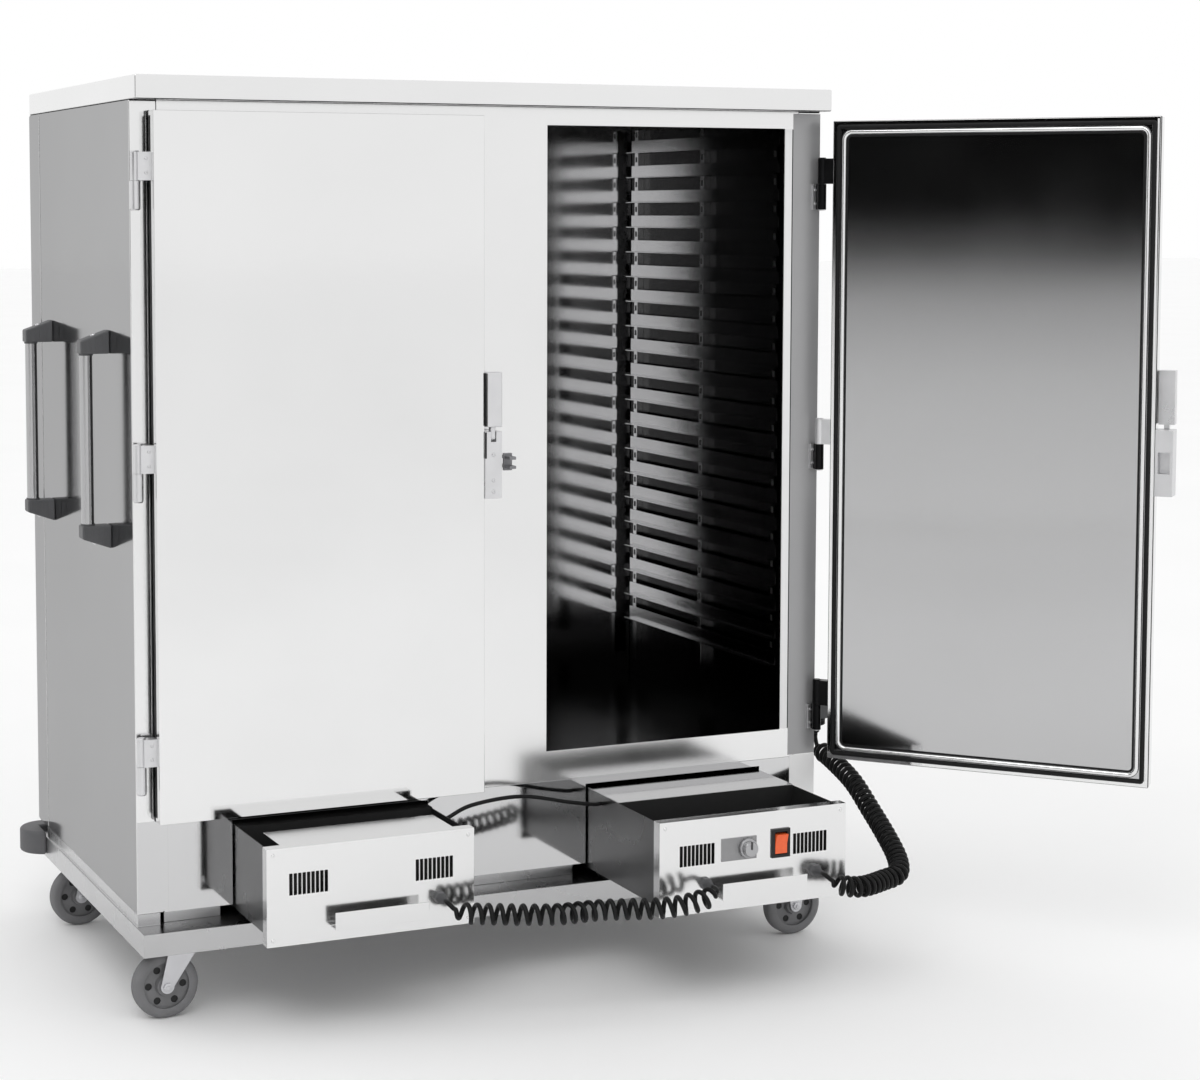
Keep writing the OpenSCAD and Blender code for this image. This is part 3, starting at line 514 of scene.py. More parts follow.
link_a = vec(LEFT_X + GLAND_B, LEFT_FRONT - GLAND_LEN - END_GAP, GLAND_Z)
link_b = vec(RIGHT_X + GLAND_A, RIGHT_FRONT - GLAND_LEN - END_GAP, GLAND_Z)
link_mid = (link_a + link_b) / 2
link_way = [
    link_a, link_a + vec(0, -13, -1), link_a + vec(16, -30, -14), link_a + vec(66, -42, -20),
    link_mid + vec(-70, -24, -24), link_mid + vec(30, -28, -26), link_b + vec(-118, -10, -24),
    link_b + vec(-58, -28, -16), link_b + vec(-10, -26, -5), link_b + vec(0, -11, 0), link_b,
]
mains_a = vec(RIGHT_X + GLAND_B, RIGHT_FRONT - GLAND_LEN - END_GAP, GLAND_Z)
mains_b = PARK + vec(0, 0, -PLUG_NECK - END_GAP)
corner = vec(HALF_W, RIGHT_FRONT, GLAND_Z)
mains_way = [
    mains_a, mains_a + vec(0, -13, -1), mains_a + vec(20, -30, -16), mains_a + vec(66, -34, -24),
    corner + vec(-62, -36, -26), corner + vec(-18, -18, -22), corner + vec(12, 30, -8),
    corner + vec(28, 95, 20), corner + vec(40, 175, 56), vec(HALF_W + 47, RIGHT_FRONT + 255, FLOOR_Z - 46),
    mains_b + vec(2, -64, -44), mains_b + vec(0, -14, -30), mains_b + vec(0, 0, -12), mains_b,
]
cable_a = vec(LEFT_X + TRAY_W / 2 + 0.75 * END_GAP, FRONT_Y - 62, TRAY_TOP - 16)
cable_b = vec(RIGHT_X - TRAY_W / 2 - 0.75 * END_GAP, FRONT_Y - 62, TRAY_TOP - 18)
cable_way = [
    cable_a, cable_a + vec(16, 0, 1), cable_a + vec(70, 0, 22), (cable_a + cable_b) / 2 + vec(0, 0, 30),
    cable_b + vec(-70, 0, 10), cable_b + vec(-16, 0, 0), cable_b,
]

# Mains plug: round body with finger ribs, a ribbed neck and two pins
PIN_Y = 9.5
bm = bmesh.new()
plug_profile = [(0, 30), (17.5, 30), (19.5, 28), (20, 2), (20, -6)]
for k in range(4):
    top = -7 - 2.2 * k
    plug_profile += [(20, top), (18.6, top - 0.6), (18.6, top - 1.6), (20, top - 2.2)]
plug_profile += [(17, -18), (11, -19.5)]
for k in range(4):
    top = -20 - 3.8 * k
    rib, neck = 10.6 - k, 8.2 - 0.8 * k
    plug_profile += [(rib, top), (rib, top - 2.4), (neck, top - 2.6), (neck, top - 3.6)]
plug_profile += [(5.4, -PLUG_NECK), (0, -PLUG_NECK)]
add_lathe(bm, plug_profile, move(*PARK), 48)
for y in (-PIN_Y, PIN_Y):
    add_lathe(bm, [(0, 49), (1.6, 49), (2.4, 47.6), (2.4, 29)], move(*(PARK + vec(0, y, 0))), 20, 1)
plug = finish_piece("mains_plug_piece", bm, [cord_rubber, cast_metal], "cabinet",
                    ("mains_plug",))

# Each cord between the drawers is two pieces that meet in mid span
wire_r, cable_r = WIRE_D / 2, CABLE_D / 2
link_path = coil_path(link_way, LINK_TURNS)
half = len(link_path) // 2
make_cord("link_cord_left", link_path[:half + 1], wire_r, WIRE_SIDES,
          ("link_cord",))
make_cord("link_cord_right", link_path[half:], wire_r, WIRE_SIDES, ())
mains_path = coil_path(mains_way, MAINS_TURNS)
make_cord("mains_cord_coil", mains_path, wire_r, WIRE_SIDES,
          ("mains_cord",))
cable_last = len(cable_way) - 1
cable_places = [i * cable_last / CABLE_STEPS for i in range(CABLE_STEPS + 1)]
cable_path = [(curve_at(cable_way, u), vec(0, 1, 0)) for u in cable_places]
half = CABLE_STEPS // 2
make_cord("drawer_cable_left", cable_path[:half + 1], cable_r, CABLE_SIDES,
          ("drawer_cable",))
make_cord("drawer_cable_right", cable_path[half:], cable_r, CABLE_SIDES,
          ())

# Insulated panels
SEAM_OUT, SEAM_EDGE = 0.9, 0.4
SIDE_SEAM_Y = (312.0, 398.0)
SIDE_SEAM_Z = (204.0, 1708.0)
BACK_SEAM_XS, BACK_SEAM_W = (-672.0, 640.0), 32.0
BACK_SEAM_Y = (398.0, 400.8)
BACK_SEAM_Z = (206.0, 1706.0)
SEAM_SCREWS, SEAM_SCREW_Z, SEAM_SCREW_PITCH = 12, 260.0, 126.0
FACING = 0.6


def panel(node, edge, inside, details=None):
    """Rounded box in place of a shell, with near-black inner steel, painted shade, on the faces that look
    the given way.
    """
    low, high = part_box(node)
    bm = bmesh.new()
    add_box(bm, low / MM, high / MM, edge, 3)
    if details is not None:
        details(bm)
    bm.normal_update()
    for face in bm.faces:
        if face.normal.dot(Vector(inside)) > FACING:
            face.material_index = 1
        elif face.normal.y < -FACING:
            face.material_index = 2
    outside = side_steel if "wall" in node else steel
    inner = rear_steel_painted_shade if node == "back_wall" else inner_steel_painted_shade
    finish_piece(node + "_piece", bm, [outside, inner, steel], "cabinet", (node,))


def side_seam(side):
    """Seam strip along the rear edge of an end wall."""
    def build(bm):
        x0, x1 = sorted((side * (HALF_W + SEAM_OUT), side * (HALF_W - 2)))
        add_box(bm, (x0, SIDE_SEAM_Y[0], SIDE_SEAM_Z[0]), (x1, SIDE_SEAM_Y[1], SIDE_SEAM_Z[1]), SEAM_EDGE)
    return build


def back_seams(bm):
    """Screwed seam strips on the back."""
    for x in BACK_SEAM_XS:
        add_box(bm, (x, BACK_SEAM_Y[0], BACK_SEAM_Z[0]), (x + BACK_SEAM_W, BACK_SEAM_Y[1], BACK_SEAM_Z[1]),
                SEAM_EDGE)
        for i in range(SEAM_SCREWS):
            z = SEAM_SCREW_Z + i * SEAM_SCREW_PITCH
            add_screw(bm, x + BACK_SEAM_W / 2, BACK_SEAM_Y[1] - 0.2, z, (0, 1, 0), 3.2)


panel("lid", 3.0, (0, 0, -1))
panel("left_wall", 2.5, (1, 0, 0), side_seam(-1))
panel("right_wall", 2.5, (-1, 0, 0), side_seam(1))
panel("back_wall", 2.0, (0, -1, 0), back_seams)
for node in ("partition", "compartment_floor"):
    low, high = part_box(node)
    bm = bmesh.new()
    add_box(bm, low / MM, high / MM, 2.0, 3)
    finish_piece(node + "_piece", bm, [inner_steel_painted_shade], "cabinet", (node,))

# Front frame and lower panel, with thin plates on their faces
OPENING_Z0, OPENING_Z1 = 437.0, 1676.0
# From and to along X and Z, how far it stands out, edge, segments, look
# Look 1 is painted shade, look 2 a painted highlight along the edge of the opening and look 3 a black line
# of painted shade between them
STILE_STRIPS = (
    (-692, -645, OPENING_Z0, OPENING_Z1, 0.25, 0.1, 1, 1),
    (663.6, 727, 380, 1708, 0.25, 0.1, 1, 1),
    (661.2, 663.6, OPENING_Z0, OPENING_Z1, 0.3, 0.1, 1, 3),
    (644.2, 661.2, OPENING_Z0, OPENING_Z1, 0.6, 0.3, 2, 2),
)
# The right end plate, look 1, is a painted highlight
PANEL_ENDS = (
    (-727.2, -668, 203, 375.5, 0.3, 0.1, 1, 0),
    (668, 727.2, 203, 379, 0.3, 0.1, 1, 1),
)


def front_plates(rows, sunk):
    """Thin plates on the front, sunk into it by some millimetres."""
    def build(bm):
        for x0, x1, z0, z1, out, edge, segments, look in rows:
            add_box(bm, (x0, FRONT_Y - out, z0), (x1, FRONT_Y + sunk, z1), edge, segments, look)
    return build


soften("face_frame", 0.8, extra=front_plates(STILE_STRIPS, 0.5),
       extra_looks=(shade_steel, painted_highlight_steel, black_plastic))
soften("lower_front_panel", 0.8, look=panel_steel, extra=front_plates(PANEL_ENDS, 0.4),
       extra_looks=(painted_highlight_steel,))
soften("chassis", 1.2)

# Tray slides, with the wall that each row of posts stands against and the way it looks
RACK_WALLS = {"left_racks": ((-676, 1), (-75, -1)), "right_racks": ((676, -1), (75, 1))}
SLIDE_Z0, SLIDE_H, SLIDE_PITCH = 560.0, 28.0, 57.0
POST_IN = 20.0
HOOK_HALF, HOOK_H, HOOK_UP, HOOK_TOP = 4.5, 12.0, 8.0, 4.0
HOOK_FROM, HOOK_TO = 15.8, 16.15
PARTITION_SIDE = 0.2


def post_slots(node, walls):
    """Black patches as painted shade for the slots that the slides hook into, and darker steel as painted
    shade on the side of the partition.
    """
    low, high = (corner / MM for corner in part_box(node))

    def build(bm):
        # Painted shade on the faces near the partition
        for face in bm.faces:
            if abs(face.calc_center_median().x) < PARTITION_SIDE:
                face.material_index = 2
        for y in (low.y + POST_IN, (low.y + high.y) / 2, high.y - POST_IN):
            for wall, s in walls:
                x0, x1 = sorted((wall + s * HOOK_FROM, wall + s * HOOK_TO))
                z = SLIDE_Z0 + SLIDE_H + HOOK_UP
                while z + HOOK_H < high.z - HOOK_TOP:
                    # Black patch painted as the shade inside a slot
                    add_box(bm, (x0, y - HOOK_HALF, z), (x1, y + HOOK_HALF, z + HOOK_H), 0.1, 1, 1)
                    z += SLIDE_PITCH
    return build


for node, walls in RACK_WALLS.items():
    soften(node, 0.5, look=rack_steel_painted_shade, extra=post_slots(node, walls), extra_looks=(black_plastic, partition_side_painted_shade))

# Push handles
HANDLE_YS = (-230, 230)
HANDLE_X = -784
GRIP_X = -770
# Flat face of each end bracket and the way it rises
BRACKET_FLATS = ((1241, 1), (915, -1))
BRACKET_OUTLINE = ((-HALF_W, 0), (-HALF_W, 45), (HANDLE_X, 25), (HANDLE_X, 0))
BRACKET_HALF = 17
BRACKET_RISE, BRACKET_RUN, BRACKET_SLANT = 20, 56, 59.5
RIB_XS, RIB_HALF = (-776, -765, -754, -743), 1.6
# Side of a bracket and the rounding of its ribs
RIB_SIDES = ((-1, 0.0), (1, 0.8))
GRIP_PROFILE = [(0, 903.5), (8, 903.5), (8, 915.2), (11.4, 915.4), (12, 916.2),
                (12, 1239.8), (11.4, 1240.6), (8, 1240.8), (8, 1252.5), (0, 1252.5)]
GRIP_SHADE_FACING = 0.35


def add_bracket(bm, y, flat, s):
    """Tapered end bracket with ribs on its sides, a screw in its slope and a collar for the grip."""
    part = bmesh.new()
    front = [part.verts.new(vec(x, y - BRACKET_HALF, flat + s * h) * MM) for x, h in BRACKET_OUTLINE]
    back = [part.verts.new(vec(x, y + BRACKET_HALF, flat + s * h) * MM) for x, h in BRACKET_OUTLINE]
    part.faces.new(front)
    part.faces.new(list(reversed(back)))
    for k in range(4):
        n = (k + 1) % 4
        part.faces.new((front[n], front[k], back[k], back[n]))
    bmesh.ops.recalc_face_normals(part, faces=part.faces)
    round_edges(part, part.edges[:], 3.0 * MM, 3)
    join(bm, part)
    for side, edge in RIB_SIDES:
        y0, y1 = sorted((y + side * (BRACKET_HALF - 1), y + side * (BRACKET_HALF + 1)))
        for x in RIB_XS:
            top = 18 + (x - HANDLE_X) * BRACKET_RISE / BRACKET_RUN
            z0, z1 = sorted((flat + s * 5, flat + s * top))
            add_box(bm, (x - RIB_HALF, y0, z0), (x + RIB_HALF, y1, z1), edge)
    slope = (-BRACKET_RISE / BRACKET_SLANT, 0, s * BRACKET_RUN / BRACKET_SLANT)
    add_screw(bm, -756, y, flat + s * 35.2, slope, 5.0, 1)
    add_lathe(bm, [(12.2, 0), (13.6, 0), (13.6, -s * 3), (12.2, -s * 3)], move(GRIP_X, y, flat), 32)


bm = bmesh.new()
for y in HANDLE_YS:
    for flat, s in BRACKET_FLATS:
        add_bracket(bm, y, flat, s)
finish_piece("push_handle_brackets_piece", bm, [dark_plastic, cast_metal], "cabinet",
             ("push_handle_brackets",))
bm = bmesh.new()
for y in HANDLE_YS:
    add_lathe(bm, GRIP_PROFILE, move(GRIP_X, y, 0), 48)
bm.normal_update()
# Black as painted shade on the side of each grip that faces the wall
for face in bm.faces:
    if face.normal.x > GRIP_SHADE_FACING:
        face.material_index = 1
finish_piece("push_handle_grips_piece", bm, [back_steel, black_plastic], "cabinet",
             ("push_handle_grips",))

# Hinges, latches and doors, each drawn as the right door shut and then put in its place
HINGE_ZS = (485.0, 1030.0, 1565.0)
HINGE_X, HINGE_Y = 722.0, -418.0
HINGE_SCREW_R = 3.2
FIXED_LEAF_X, FIXED_LEAF_Y = 714, -405
DOOR_LEAF_X, DOOR_LEAF_Y = 705, -432
MIRROR = Matrix.Diagonal((-1, 1, 1, 1))
OPEN = (move(HINGE_X, HINGE_Y, 0) @ Matrix.Rotation(math.radians(132), 4, "Z")
        @ move(-HINGE_X, -HINGE_Y, 0))
DOORS = {"left": MIRROR, "right": OPEN}
DOOR_X0, DOOR_X1 = 43.0, 695.0
DOOR_Z0, DOOR_Z1 = 378.0, 1692.0
DOOR_BACK, DOOR_FRONT = -406.0, -446.0
LATCH_Z = 1020.0
LATCH_SCREW_X = 25.5
LINER_IN, BEAD_IN, SEAL_IN, BEAD_SHADE_IN = 16.1, 22.0, 11.5, 29.5
ARC_STEPS = 10
ARC = [(math.cos(math.pi * k / ARC_STEPS), math.sin(math.pi * k / ARC_STEPS)) for k in range(ARC_STEPS + 1)]
BEAD = [(5.0 * a, 4.0 * h) for a, h in ARC] + [(-5.0, -0.5), (5.0, -0.5)]
SEAL = ([(-4.5, 0.02), (-4.5, 1.6)] + [(3.7 * a, 1.9 + 3.8 * h) for a, h in reversed(ARC)]
        + [(4.5, 1.6), (4.5, 0.02)])
# Flat black strip beside the bead, as painted shade
BEAD_SHADE_PROFILE = [(-2.2, 0.0), (-2.2, 0.4), (2.2, 0.4), (2.2, 0.0)]
LIP = [(0.0, -9.0), (0.45, -9.0), (0.45, -0.6), (0.0, -0.6)]


def fixed_hinge_details(bm):
    """Screws and end caps of the cabinet's hinge halves, with black as painted shade on the right end."""
    for face in bm.faces:
        # Black as painted shade on the right end's hinge halves
        if face.calc_center_median().x > (HINGE_X - 9) * MM:
            face.material_index = 1
    for place in (Matrix.Identity(4), MIRROR):
        for z in HINGE_ZS:
            for dz in (-40, -12):
                add_screw(bm, FIXED_LEAF_X, FIXED_LEAF_Y, z + dz, OUT_FRONT, HINGE_SCREW_R, 0, place)
            add_lathe(bm, [(0, -54), (7, -54), (9, -52)], place @ move(HINGE_X, HINGE_Y, z), 32)


def door_loop(inset, radius, steps):
    """Places round the inside of a door, some millimetres in from its edge."""
    return rounded_loop(DOOR_X0 + inset, DOOR_Z0 + inset, DOOR_X1 - inset, DOOR_Z1 - inset, radius,
                        DOOR_BACK, steps)


def make_door(side, place):
    """Pan, hinge halves, latch, liner and seal of one door."""
    def hinge_details(bm):
        # The middle hinge stays plain cast metal; on the right door the others carry black as painted shade
        middle = HINGE_ZS[1]
        for face in bm.faces:
            if abs(face.calc_center_median().z - middle * MM) < 0.1:
                face.material_index = 1
        for z in HINGE_ZS:
            look = int(z == middle)
            for dz in (14, 40):
                add_screw(bm, DOOR_LEAF_X, DOOR_LEAF_Y, z + dz, OUT_FRONT, HINGE_SCREW_R, look, place)
            add_lathe(bm, [(9, 51.9), (7, 54), (0, 54)], place @ move(HINGE_X, HINGE_Y, z), 32, look)

    def latch_details(bm):
        for dz in (-52, -30, 20):
            add_screw(bm, LATCH_SCREW_X, DOOR_FRONT - 4, LATCH_Z + dz, OUT_FRONT, 4.0, 0, place)
        # Black strips along the latch body as painted shade
        add_box(bm, (40.0, DOOR_FRONT - 4.4, LATCH_Z + 13), (43.2, DOOR_FRONT - 1, LATCH_Z + 64),
                0.2, 1, 1, place)
        add_box(bm, (40.6, DOOR_FRONT - 2, LATCH_Z - 58), (41.2, DOOR_FRONT + 12, LATCH_Z), 0.2, 1, 1, place)

    def lever_shade_strip(bm):
        # Black strip on the lever's side as painted shade at the gap by the door's edge
        add_box(bm, (40.4, DOOR_FRONT - 9.5, LATCH_Z + 76), (41.8, DOOR_FRONT + 12, LATCH_Z + 178),
                0.5, 2, 1, place)

    body = side + "_door"
    soften(body + "_pan", 1.6, 3, mirror_steel)
    soften(body + "_hinges", 1.0, 2, shaded_hinge_metal if side == "right" else cast_metal, hinge_details,
           (cast_metal,))
    soften(side + "_latch_body", 2.0, 3, extra=latch_details, extra_looks=(black_plastic,))
    soften(side + "_latch_lever", 3.0, 3, extra=lever_shade_strip, extra_looks=(black_plastic,))

    bm = bmesh.new()
    add_box(bm, (DOOR_X0 + LINER_IN, DOOR_BACK - 2, DOOR_Z0 + LINER_IN),
            (DOOR_X1 - LINER_IN, DOOR_BACK, DOOR_Z1 - LINER_IN), 0.4, 2, 0, place)
    add_sweep(bm, door_loop(BEAD_IN, 17, 10), BEAD, 1, place)
    finish_piece(body + "_liner_piece", bm, [liner_steel, steel], body, (body + "_liner",))

    bm = bmesh.new()
    add_sweep(bm, door_loop(SEAL_IN, 3, 4), SEAL, 0, place)
    # Painted shade beside the bead
    add_sweep(bm, door_loop(BEAD_SHADE_IN, 10, 8), BEAD_SHADE_PROFILE, 0, place)
    # Light strip on the flange, a painted highlight
    add_box(bm, (DOOR_X0 + 2.9, DOOR_BACK - 0.2, DOOR_Z0 + 4), (DOOR_X0 + 6.3, DOOR_BACK + 0.3, DOOR_Z1 - 4),
            0.1, 1, 1, place)
    # Black band on the left door's hinge-side edge as painted shade in the gap
    if side == "left":
        add_box(bm, (DOOR_X1 - 0.2, DOOR_BACK - 21, DOOR_Z0 + 9),
                (DOOR_X1 + 0.45, DOOR_BACK - 0.6, DOOR_Z1 - 9), 0.1, 1, 0, place)
    add_sweep(bm, door_loop(0, 0.5, 2), LIP, 0, place)
    finish_piece(body + "_gasket_piece", bm, [gasket_rubber, painted_highlight_steel], body,
                 (body + "_gasket",))


soften("cabinet_hinges", 1.0, 2, extra=fixed_hinge_details, extra_looks=(shaded_hinge_metal,))
soften("latch_keepers", 0.8, look=motor_metal)
soften("parking_socket", 3.0, 3)
soften("corner_bumpers", 14.0, 5)
for side, place in DOORS.items():
    make_door(side, place)

# Casters
AXLES = {"front_left": (-676, -396), "rear_left": (-676, 260),
         "front_right": (678, -396), "rear_right": (678, 260)}
WHEEL_R = 62.5
FORK_FACE = 22
CORE_R, CORE_THIN = 52, 0.8
HOLES, HOLE_RING, HOLE_R, FILL_HALF = 6, 33.25, 7.1, 5
BOLT_HEAD = [(0, 5.0), (6.5, 5.0), (8.5, 4.2), (8.5, -0.5)]
BOLT_END = [(0, 7.5), (3.6, 7.5), (4.2, 6.8), (4.2, 4.5)]
# Half of a tyre's section from its bead to its tread, radius and height
TYRE_SIDE = [(43.6, 14), (47, 15.2), (53, 15.4), (57.5, 14), (60.8, 11.4), (WHEEL_R, 8)]
GROOVES, GROOVE_DEPTH = (-5, 0, 5), 1.1


def axle_bolts(corners):
    """Bolt heads on both sides of the forks."""
    def build(bm):
        for x, y in (AXLES[corner] for corner in corners):
            for s in (-1, 1):
                spot = aim(x, y + s * FORK_FACE, WHEEL_R, (0, s, 0))
                add_lathe(bm, BOLT_HEAD, spot, 6)
                add_lathe(bm, BOLT_END, spot, 20)
    return build


def tyre_profile():
    """Closed section of a tyre with three grooves."""
    profile = [(r, -h) for r, h in TYRE_SIDE]
    for groove in GROOVES:
        foot = WHEEL_R - GROOVE_DEPTH
        profile += [(WHEEL_R, groove - 1), (foot, groove - 0.6), (foot, groove + 0.6), (WHEEL_R, groove + 1)]
    return profile + TYRE_SIDE[::-1] + [profile[0]]


def make_wheel(corner, x, y):
    """Tyre round the node's own core, which is drawn in under it, with black discs in its holes as painted
    shade.
    """
    bm = bmesh.new()
    add_lathe(bm, tyre_profile(), aim(x, y, WHEEL_R, (0, 1, 0)), 64)
    core = welded_copy(corner + "_wheel")
    centre = vec(x, y, WHEEL_R) * MM
    for vert in core.verts:
        off = vert.co - centre
        reach = math.hypot(off.x, off.z)
        if reach > CORE_R * MM:
            share = CORE_R * MM / reach
            vert.co = centre + vec(off.x * share, off.y * CORE_THIN, off.z * share)
    join(bm, core, 1)
    # Black discs in the holes as painted shade
    for k in range(HOLES):
        angle = 2 * math.pi * k / HOLES
        spot = aim(x + HOLE_RING * math.cos(angle), y, WHEEL_R + HOLE_RING * math.sin(angle), (0, 1, 0))
        add_lathe(bm, [(0, -FILL_HALF), (HOLE_R, -FILL_HALF), (HOLE_R, FILL_HALF), (0, FILL_HALF)],
                  spot, 20, 2)
    finish_piece(corner + "_wheel_piece", bm, [wheel_rubber, wheel_core, black_plastic],
                 corner + "_caster_wheel", (corner + "_wheel",), sharp=34.0)


soften("fixed_caster_forks", 0.9, 2, fork_steel, axle_bolts(("front_right", "rear_right")))
soften("front_swivel_fork", 0.9, 2, fork_steel, axle_bolts(("front_left",)))
soften("rear_swivel_fork", 0.9, 2, fork_steel, axle_bolts(("rear_left",)))
for corner, (x, y) in AXLES.items():
    make_wheel(corner, x, y)

# Drawers
DRAWERS = {"left": (LEFT_X, LEFT_FRONT), "right": (RIGHT_X, RIGHT_FRONT)}
FRONT_SCREW_X, FRONT_SCREW_ZS = 192, (189, 347)
GRILLE_XS = (-DRAWER_W / 2 + 42, DRAWER_W / 2 - 119)
GRILLE_Z, GRILLE_HALF = 290.0, 20.0
SLOT_COUNT, SLOT_IN, SLOT_PITCH, SLOT_W, SLOT_SHADE_W = 9, 2.0, 8.5, 4.5, 1.1
KNOB_X, DIAL_X, DIAL_Z = -15.5, -33.5, 293.5
DIAL_REACH_X, DIAL_REACH_Z = 39, 23
TICKS, TICK_FIRST, TICK_STEP = 11, -135, 27
KNOB_PROFILE = [(4.1, 2.4), (18.2, 2.4), (19, 3.2), (19, 6.6), (18, 8), (15.2, 8.6), (14.6, 17.4),
                (13.4, 19), (0, 19)]
KNOB_RIBS = 24
POINTER_HALF, POINTER_LEN = 1.6, 15


def add_gland(bm, x, y):
    """Hexagon, dome nut and a tapered ribbed relief."""
    place = aim(x, y, GLAND_Z, OUT_FRONT)
    add_lathe(bm, [(0, 0), (11.2, 0), (12, 0.8), (12, 9), (11, 10), (0, 10)], place, 6)
    profile = [(10, 9.5), (10, 11), (9.2, 12.4), (8, 12.8)]
    for k in range(5):
        base = 13 + 3.2 * k
        big = 8.0 - 0.62 * k
        profile += [(big, base), (big - 0.1, base + 1.9), (big - 1.3, base + 2.1), (big - 1.3, base + 3.0)]
    profile += [(5.4, 29.2), (5.2, GLAND_LEN), (0, GLAND_LEN)]
    add_lathe(bm, profile, place, 32)


def add_dial(bm, x, y):
    """Grey on the faces of the dial plate, and ticks round the knob."""
    for face in bm.faces:
        spot = face.calc_center_median() / MM
        near = abs(spot.x - x - DIAL_X) < DIAL_REACH_X and abs(spot.z - DIAL_Z) < DIAL_REACH_Z
        if near and y - 3 < spot.y < y - 0.2:
            face.material_index = 2
    for i in range(TICKS):
        angle = math.radians(TICK_FIRST + TICK_STEP * i)
        turn = move(x + KNOB_X, y, DIAL_Z) @ Matrix.Rotation(angle, 4, "Y")
        add_box(bm, (-0.5, -2.3, 19.6), (0.5, -1.8, 21.6), 0.1, 1, 1, turn)


def make_drawer(side, x, y):
    """Tray, cover, heating parts and front of one drawer."""
    def outer_sides(bm):
        for face in bm.faces:
            reach = abs(face.calc_center_median().x - x * MM)
            if abs(face.normal.x) > 0.9 and reach > (TRAY_W / 2 - 1) * MM:
                face.material_index = 1

    def front_details(bm):
        for s in (-1, 1):
            for z in FRONT_SCREW_ZS:
                add_screw(bm, x + s * FRONT_SCREW_X, y, z, OUT_FRONT, 3.6)
        for grille_x in GRILLE_XS:
            for i in range(SLOT_COUNT):
                left = x + grille_x + SLOT_IN + i * SLOT_PITCH
                # Black strips beside each slot as painted shade
                for x0 in (left - SLOT_SHADE_W, left + SLOT_W):
                    add_box(bm, (x0, y - 0.25, GRILLE_Z - GRILLE_HALF),
                            (x0 + SLOT_SHADE_W, y + 0.3, GRILLE_Z + GRILLE_HALF), 0.1, 1, 3)
        if side == "right":
            add_dial(bm, x, y)

    soften(side + "_drawer_tray", 0.6, extra=outer_sides, extra_looks=(tray_steel,))
    # The left cover in the same near-black, painted shade
    soften(side + "_drawer_cover", 0.6, look=tray_painted_shade if side == "left" else liner_steel)
    soften(side + "_heater", 0.2)
    soften(side + "_fan_motor", 1.0)
    soften(side + "_fan", 0.25)
    soften(side + "_drawer_front", 1.0, 2, extra=front_details,
           extra_looks=(mark_paint, plate_grey, black_plastic))


for side, (x, y) in DRAWERS.items():
    make_drawer(side, x, y)
bm = bmesh.new()
add_gland(bm, LEFT_X + GLAND_B, LEFT_FRONT)
finish_piece("left_cord_gland_piece", bm, [dark_plastic], "left_drawer", ("left_cord_gland",))
bm = bmesh.new()
add_gland(bm, RIGHT_X + GLAND_A, RIGHT_FRONT)
add_gland(bm, RIGHT_X + GLAND_B, RIGHT_FRONT)
finish_piece("right_cord_glands_piece", bm, [dark_plastic], "right_drawer",
             ("right_cord_glands",))
soften("switch_bezel", 0.8, 2)
soften("switch_rocker", 0.9, 3)
bm = bmesh.new()
knob_x = RIGHT_X + KNOB_X
place = aim(knob_x, RIGHT_FRONT, DIAL_Z, OUT_FRONT)
add_lathe(bm, KNOB_PROFILE, place, 64)
for k in range(KNOB_RIBS):
    turn = place @ Matrix.Rotation(2 * math.pi * k / KNOB_RIBS, 4, "Z")
    add_box(bm, (14.2, -0.8, 8.8), (15.4, 0.8, 17.2), 0.35, 1, 0, turn)
add_box(bm, (knob_x - POINTER_HALF, RIGHT_FRONT - 21, DIAL_Z),
        (knob_x + POINTER_HALF, RIGHT_FRONT - 8, DIAL_Z + POINTER_LEN), 0.6, 2, 1)
finish_piece("thermostat_knob_piece", bm, [knob_silver, mark_paint], "knob",
             ("thermostat_knob",))

# Looks of the nodes, for those that no piece stands for
for name, obj in nodes.items():
    obj.data.materials.clear()
    obj.data.materials.append(SLOT_LOOK[slot_of_node[name]])


# Floor, card and light, in metres
def sheet(name, size, mat):
    """Flat square of the stage."""
    bm = bmesh.new()
    bmesh.ops.create_grid(bm, x_segments=1, y_segments=1, size=size)
    mesh = bpy.data.meshes.new(name)
    bm.to_mesh(mesh)
    bm.free()
    mesh.materials.append(mat)
    obj = bpy.data.objects.new(name, mesh)
    scene.collection.objects.link(obj)
    return obj


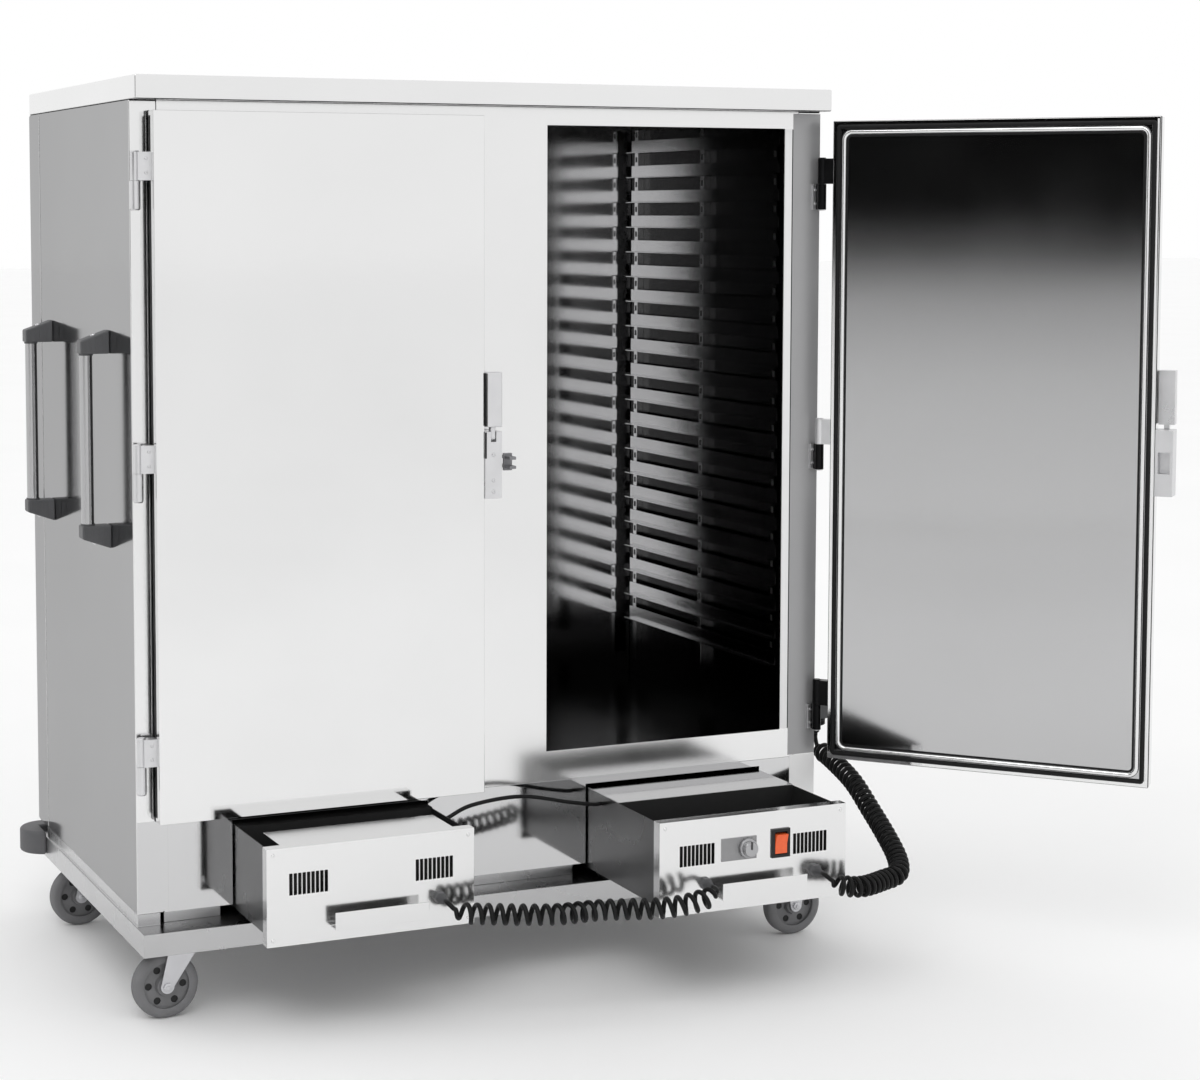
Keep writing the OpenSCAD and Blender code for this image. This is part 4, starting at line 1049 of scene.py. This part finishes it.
def card(name, centre, facing, width, height, shades):
    """Studio card that metal reflects, shaded from its foot to its top, out of the camera's sight."""
    mat = bpy.data.materials.new(name)
    mat.use_nodes = True
    tree = mat.node_tree
    shader = tree.nodes["Principled BSDF"]
    shader.inputs["Roughness"].default_value = 1.0
    shader.inputs["Specular IOR Level"].default_value = 0.0
    coords = tree.nodes.new("ShaderNodeTexCoord")
    split = tree.nodes.new("ShaderNodeSeparateXYZ")
    ramp = tree.nodes.new("ShaderNodeValToRGB")
    tree.links.new(coords.outputs["Generated"], split.inputs["Vector"])
    tree.links.new(split.outputs["Y"], ramp.inputs["Fac"])
    tree.links.new(ramp.outputs["Color"], shader.inputs["Base Color"])
    stops = ramp.color_ramp.elements
    while len(stops) < len(shades):
        stops.new(0.5)
    for stop, (position, shade) in zip(stops, shades):
        stop.position = position
        stop.color = (shade, shade, shade, 1.0)
    obj = sheet(name, 0.5, mat)
    turn = Vector(facing).to_track_quat("Z", "Y").to_matrix().to_4x4()
    obj.matrix_world = Matrix.Translation(centre) @ turn @ Matrix.Diagonal((width, height, 1, 1))
    obj.visible_camera = False


FLOOR_HALF = 60.0
CARD_FOOT, CARD_W, CARD_H = 0.1, 3.6, 4.8
CARD_SHADES = [(0.2, 0.95), (0.73, 0.83), (1.12, 0.56), (1.31, 0.12), (1.5, 0.004)]
sheet("floor", FLOOR_HALF, surface("floor_white", (0.96, 0.96, 0.96), 0.0, 0.7, tint=0.01, scale=1.0))
card("dark_card", (-4.6, -3.6, CARD_FOOT + CARD_H / 2), (0.87, 0.47, 0.0), CARD_W, CARD_H,
     [((z - CARD_FOOT) / CARD_H, shade) for z, shade in CARD_SHADES])
world = bpy.data.worlds.new("world")
scene.world = world
world.use_nodes = True
background = world.node_tree.nodes["Background"]
background.inputs["Color"].default_value = (1.0, 1.0, 1.0, 1.0)
background.inputs["Strength"].default_value = 1.0
key_light = bpy.data.lights.new("key", "AREA")
key_light.size = 3.0
key_light.energy = 60.0
key = bpy.data.objects.new("key", key_light)
key.location = (-2.5, -3.5, 4.5)
key.rotation_euler = (vec(0, 0, 0.9) - key.location).to_track_quat("-Z", "Y").to_euler()
scene.collection.objects.link(key)
scene.view_settings.view_transform = "Standard"
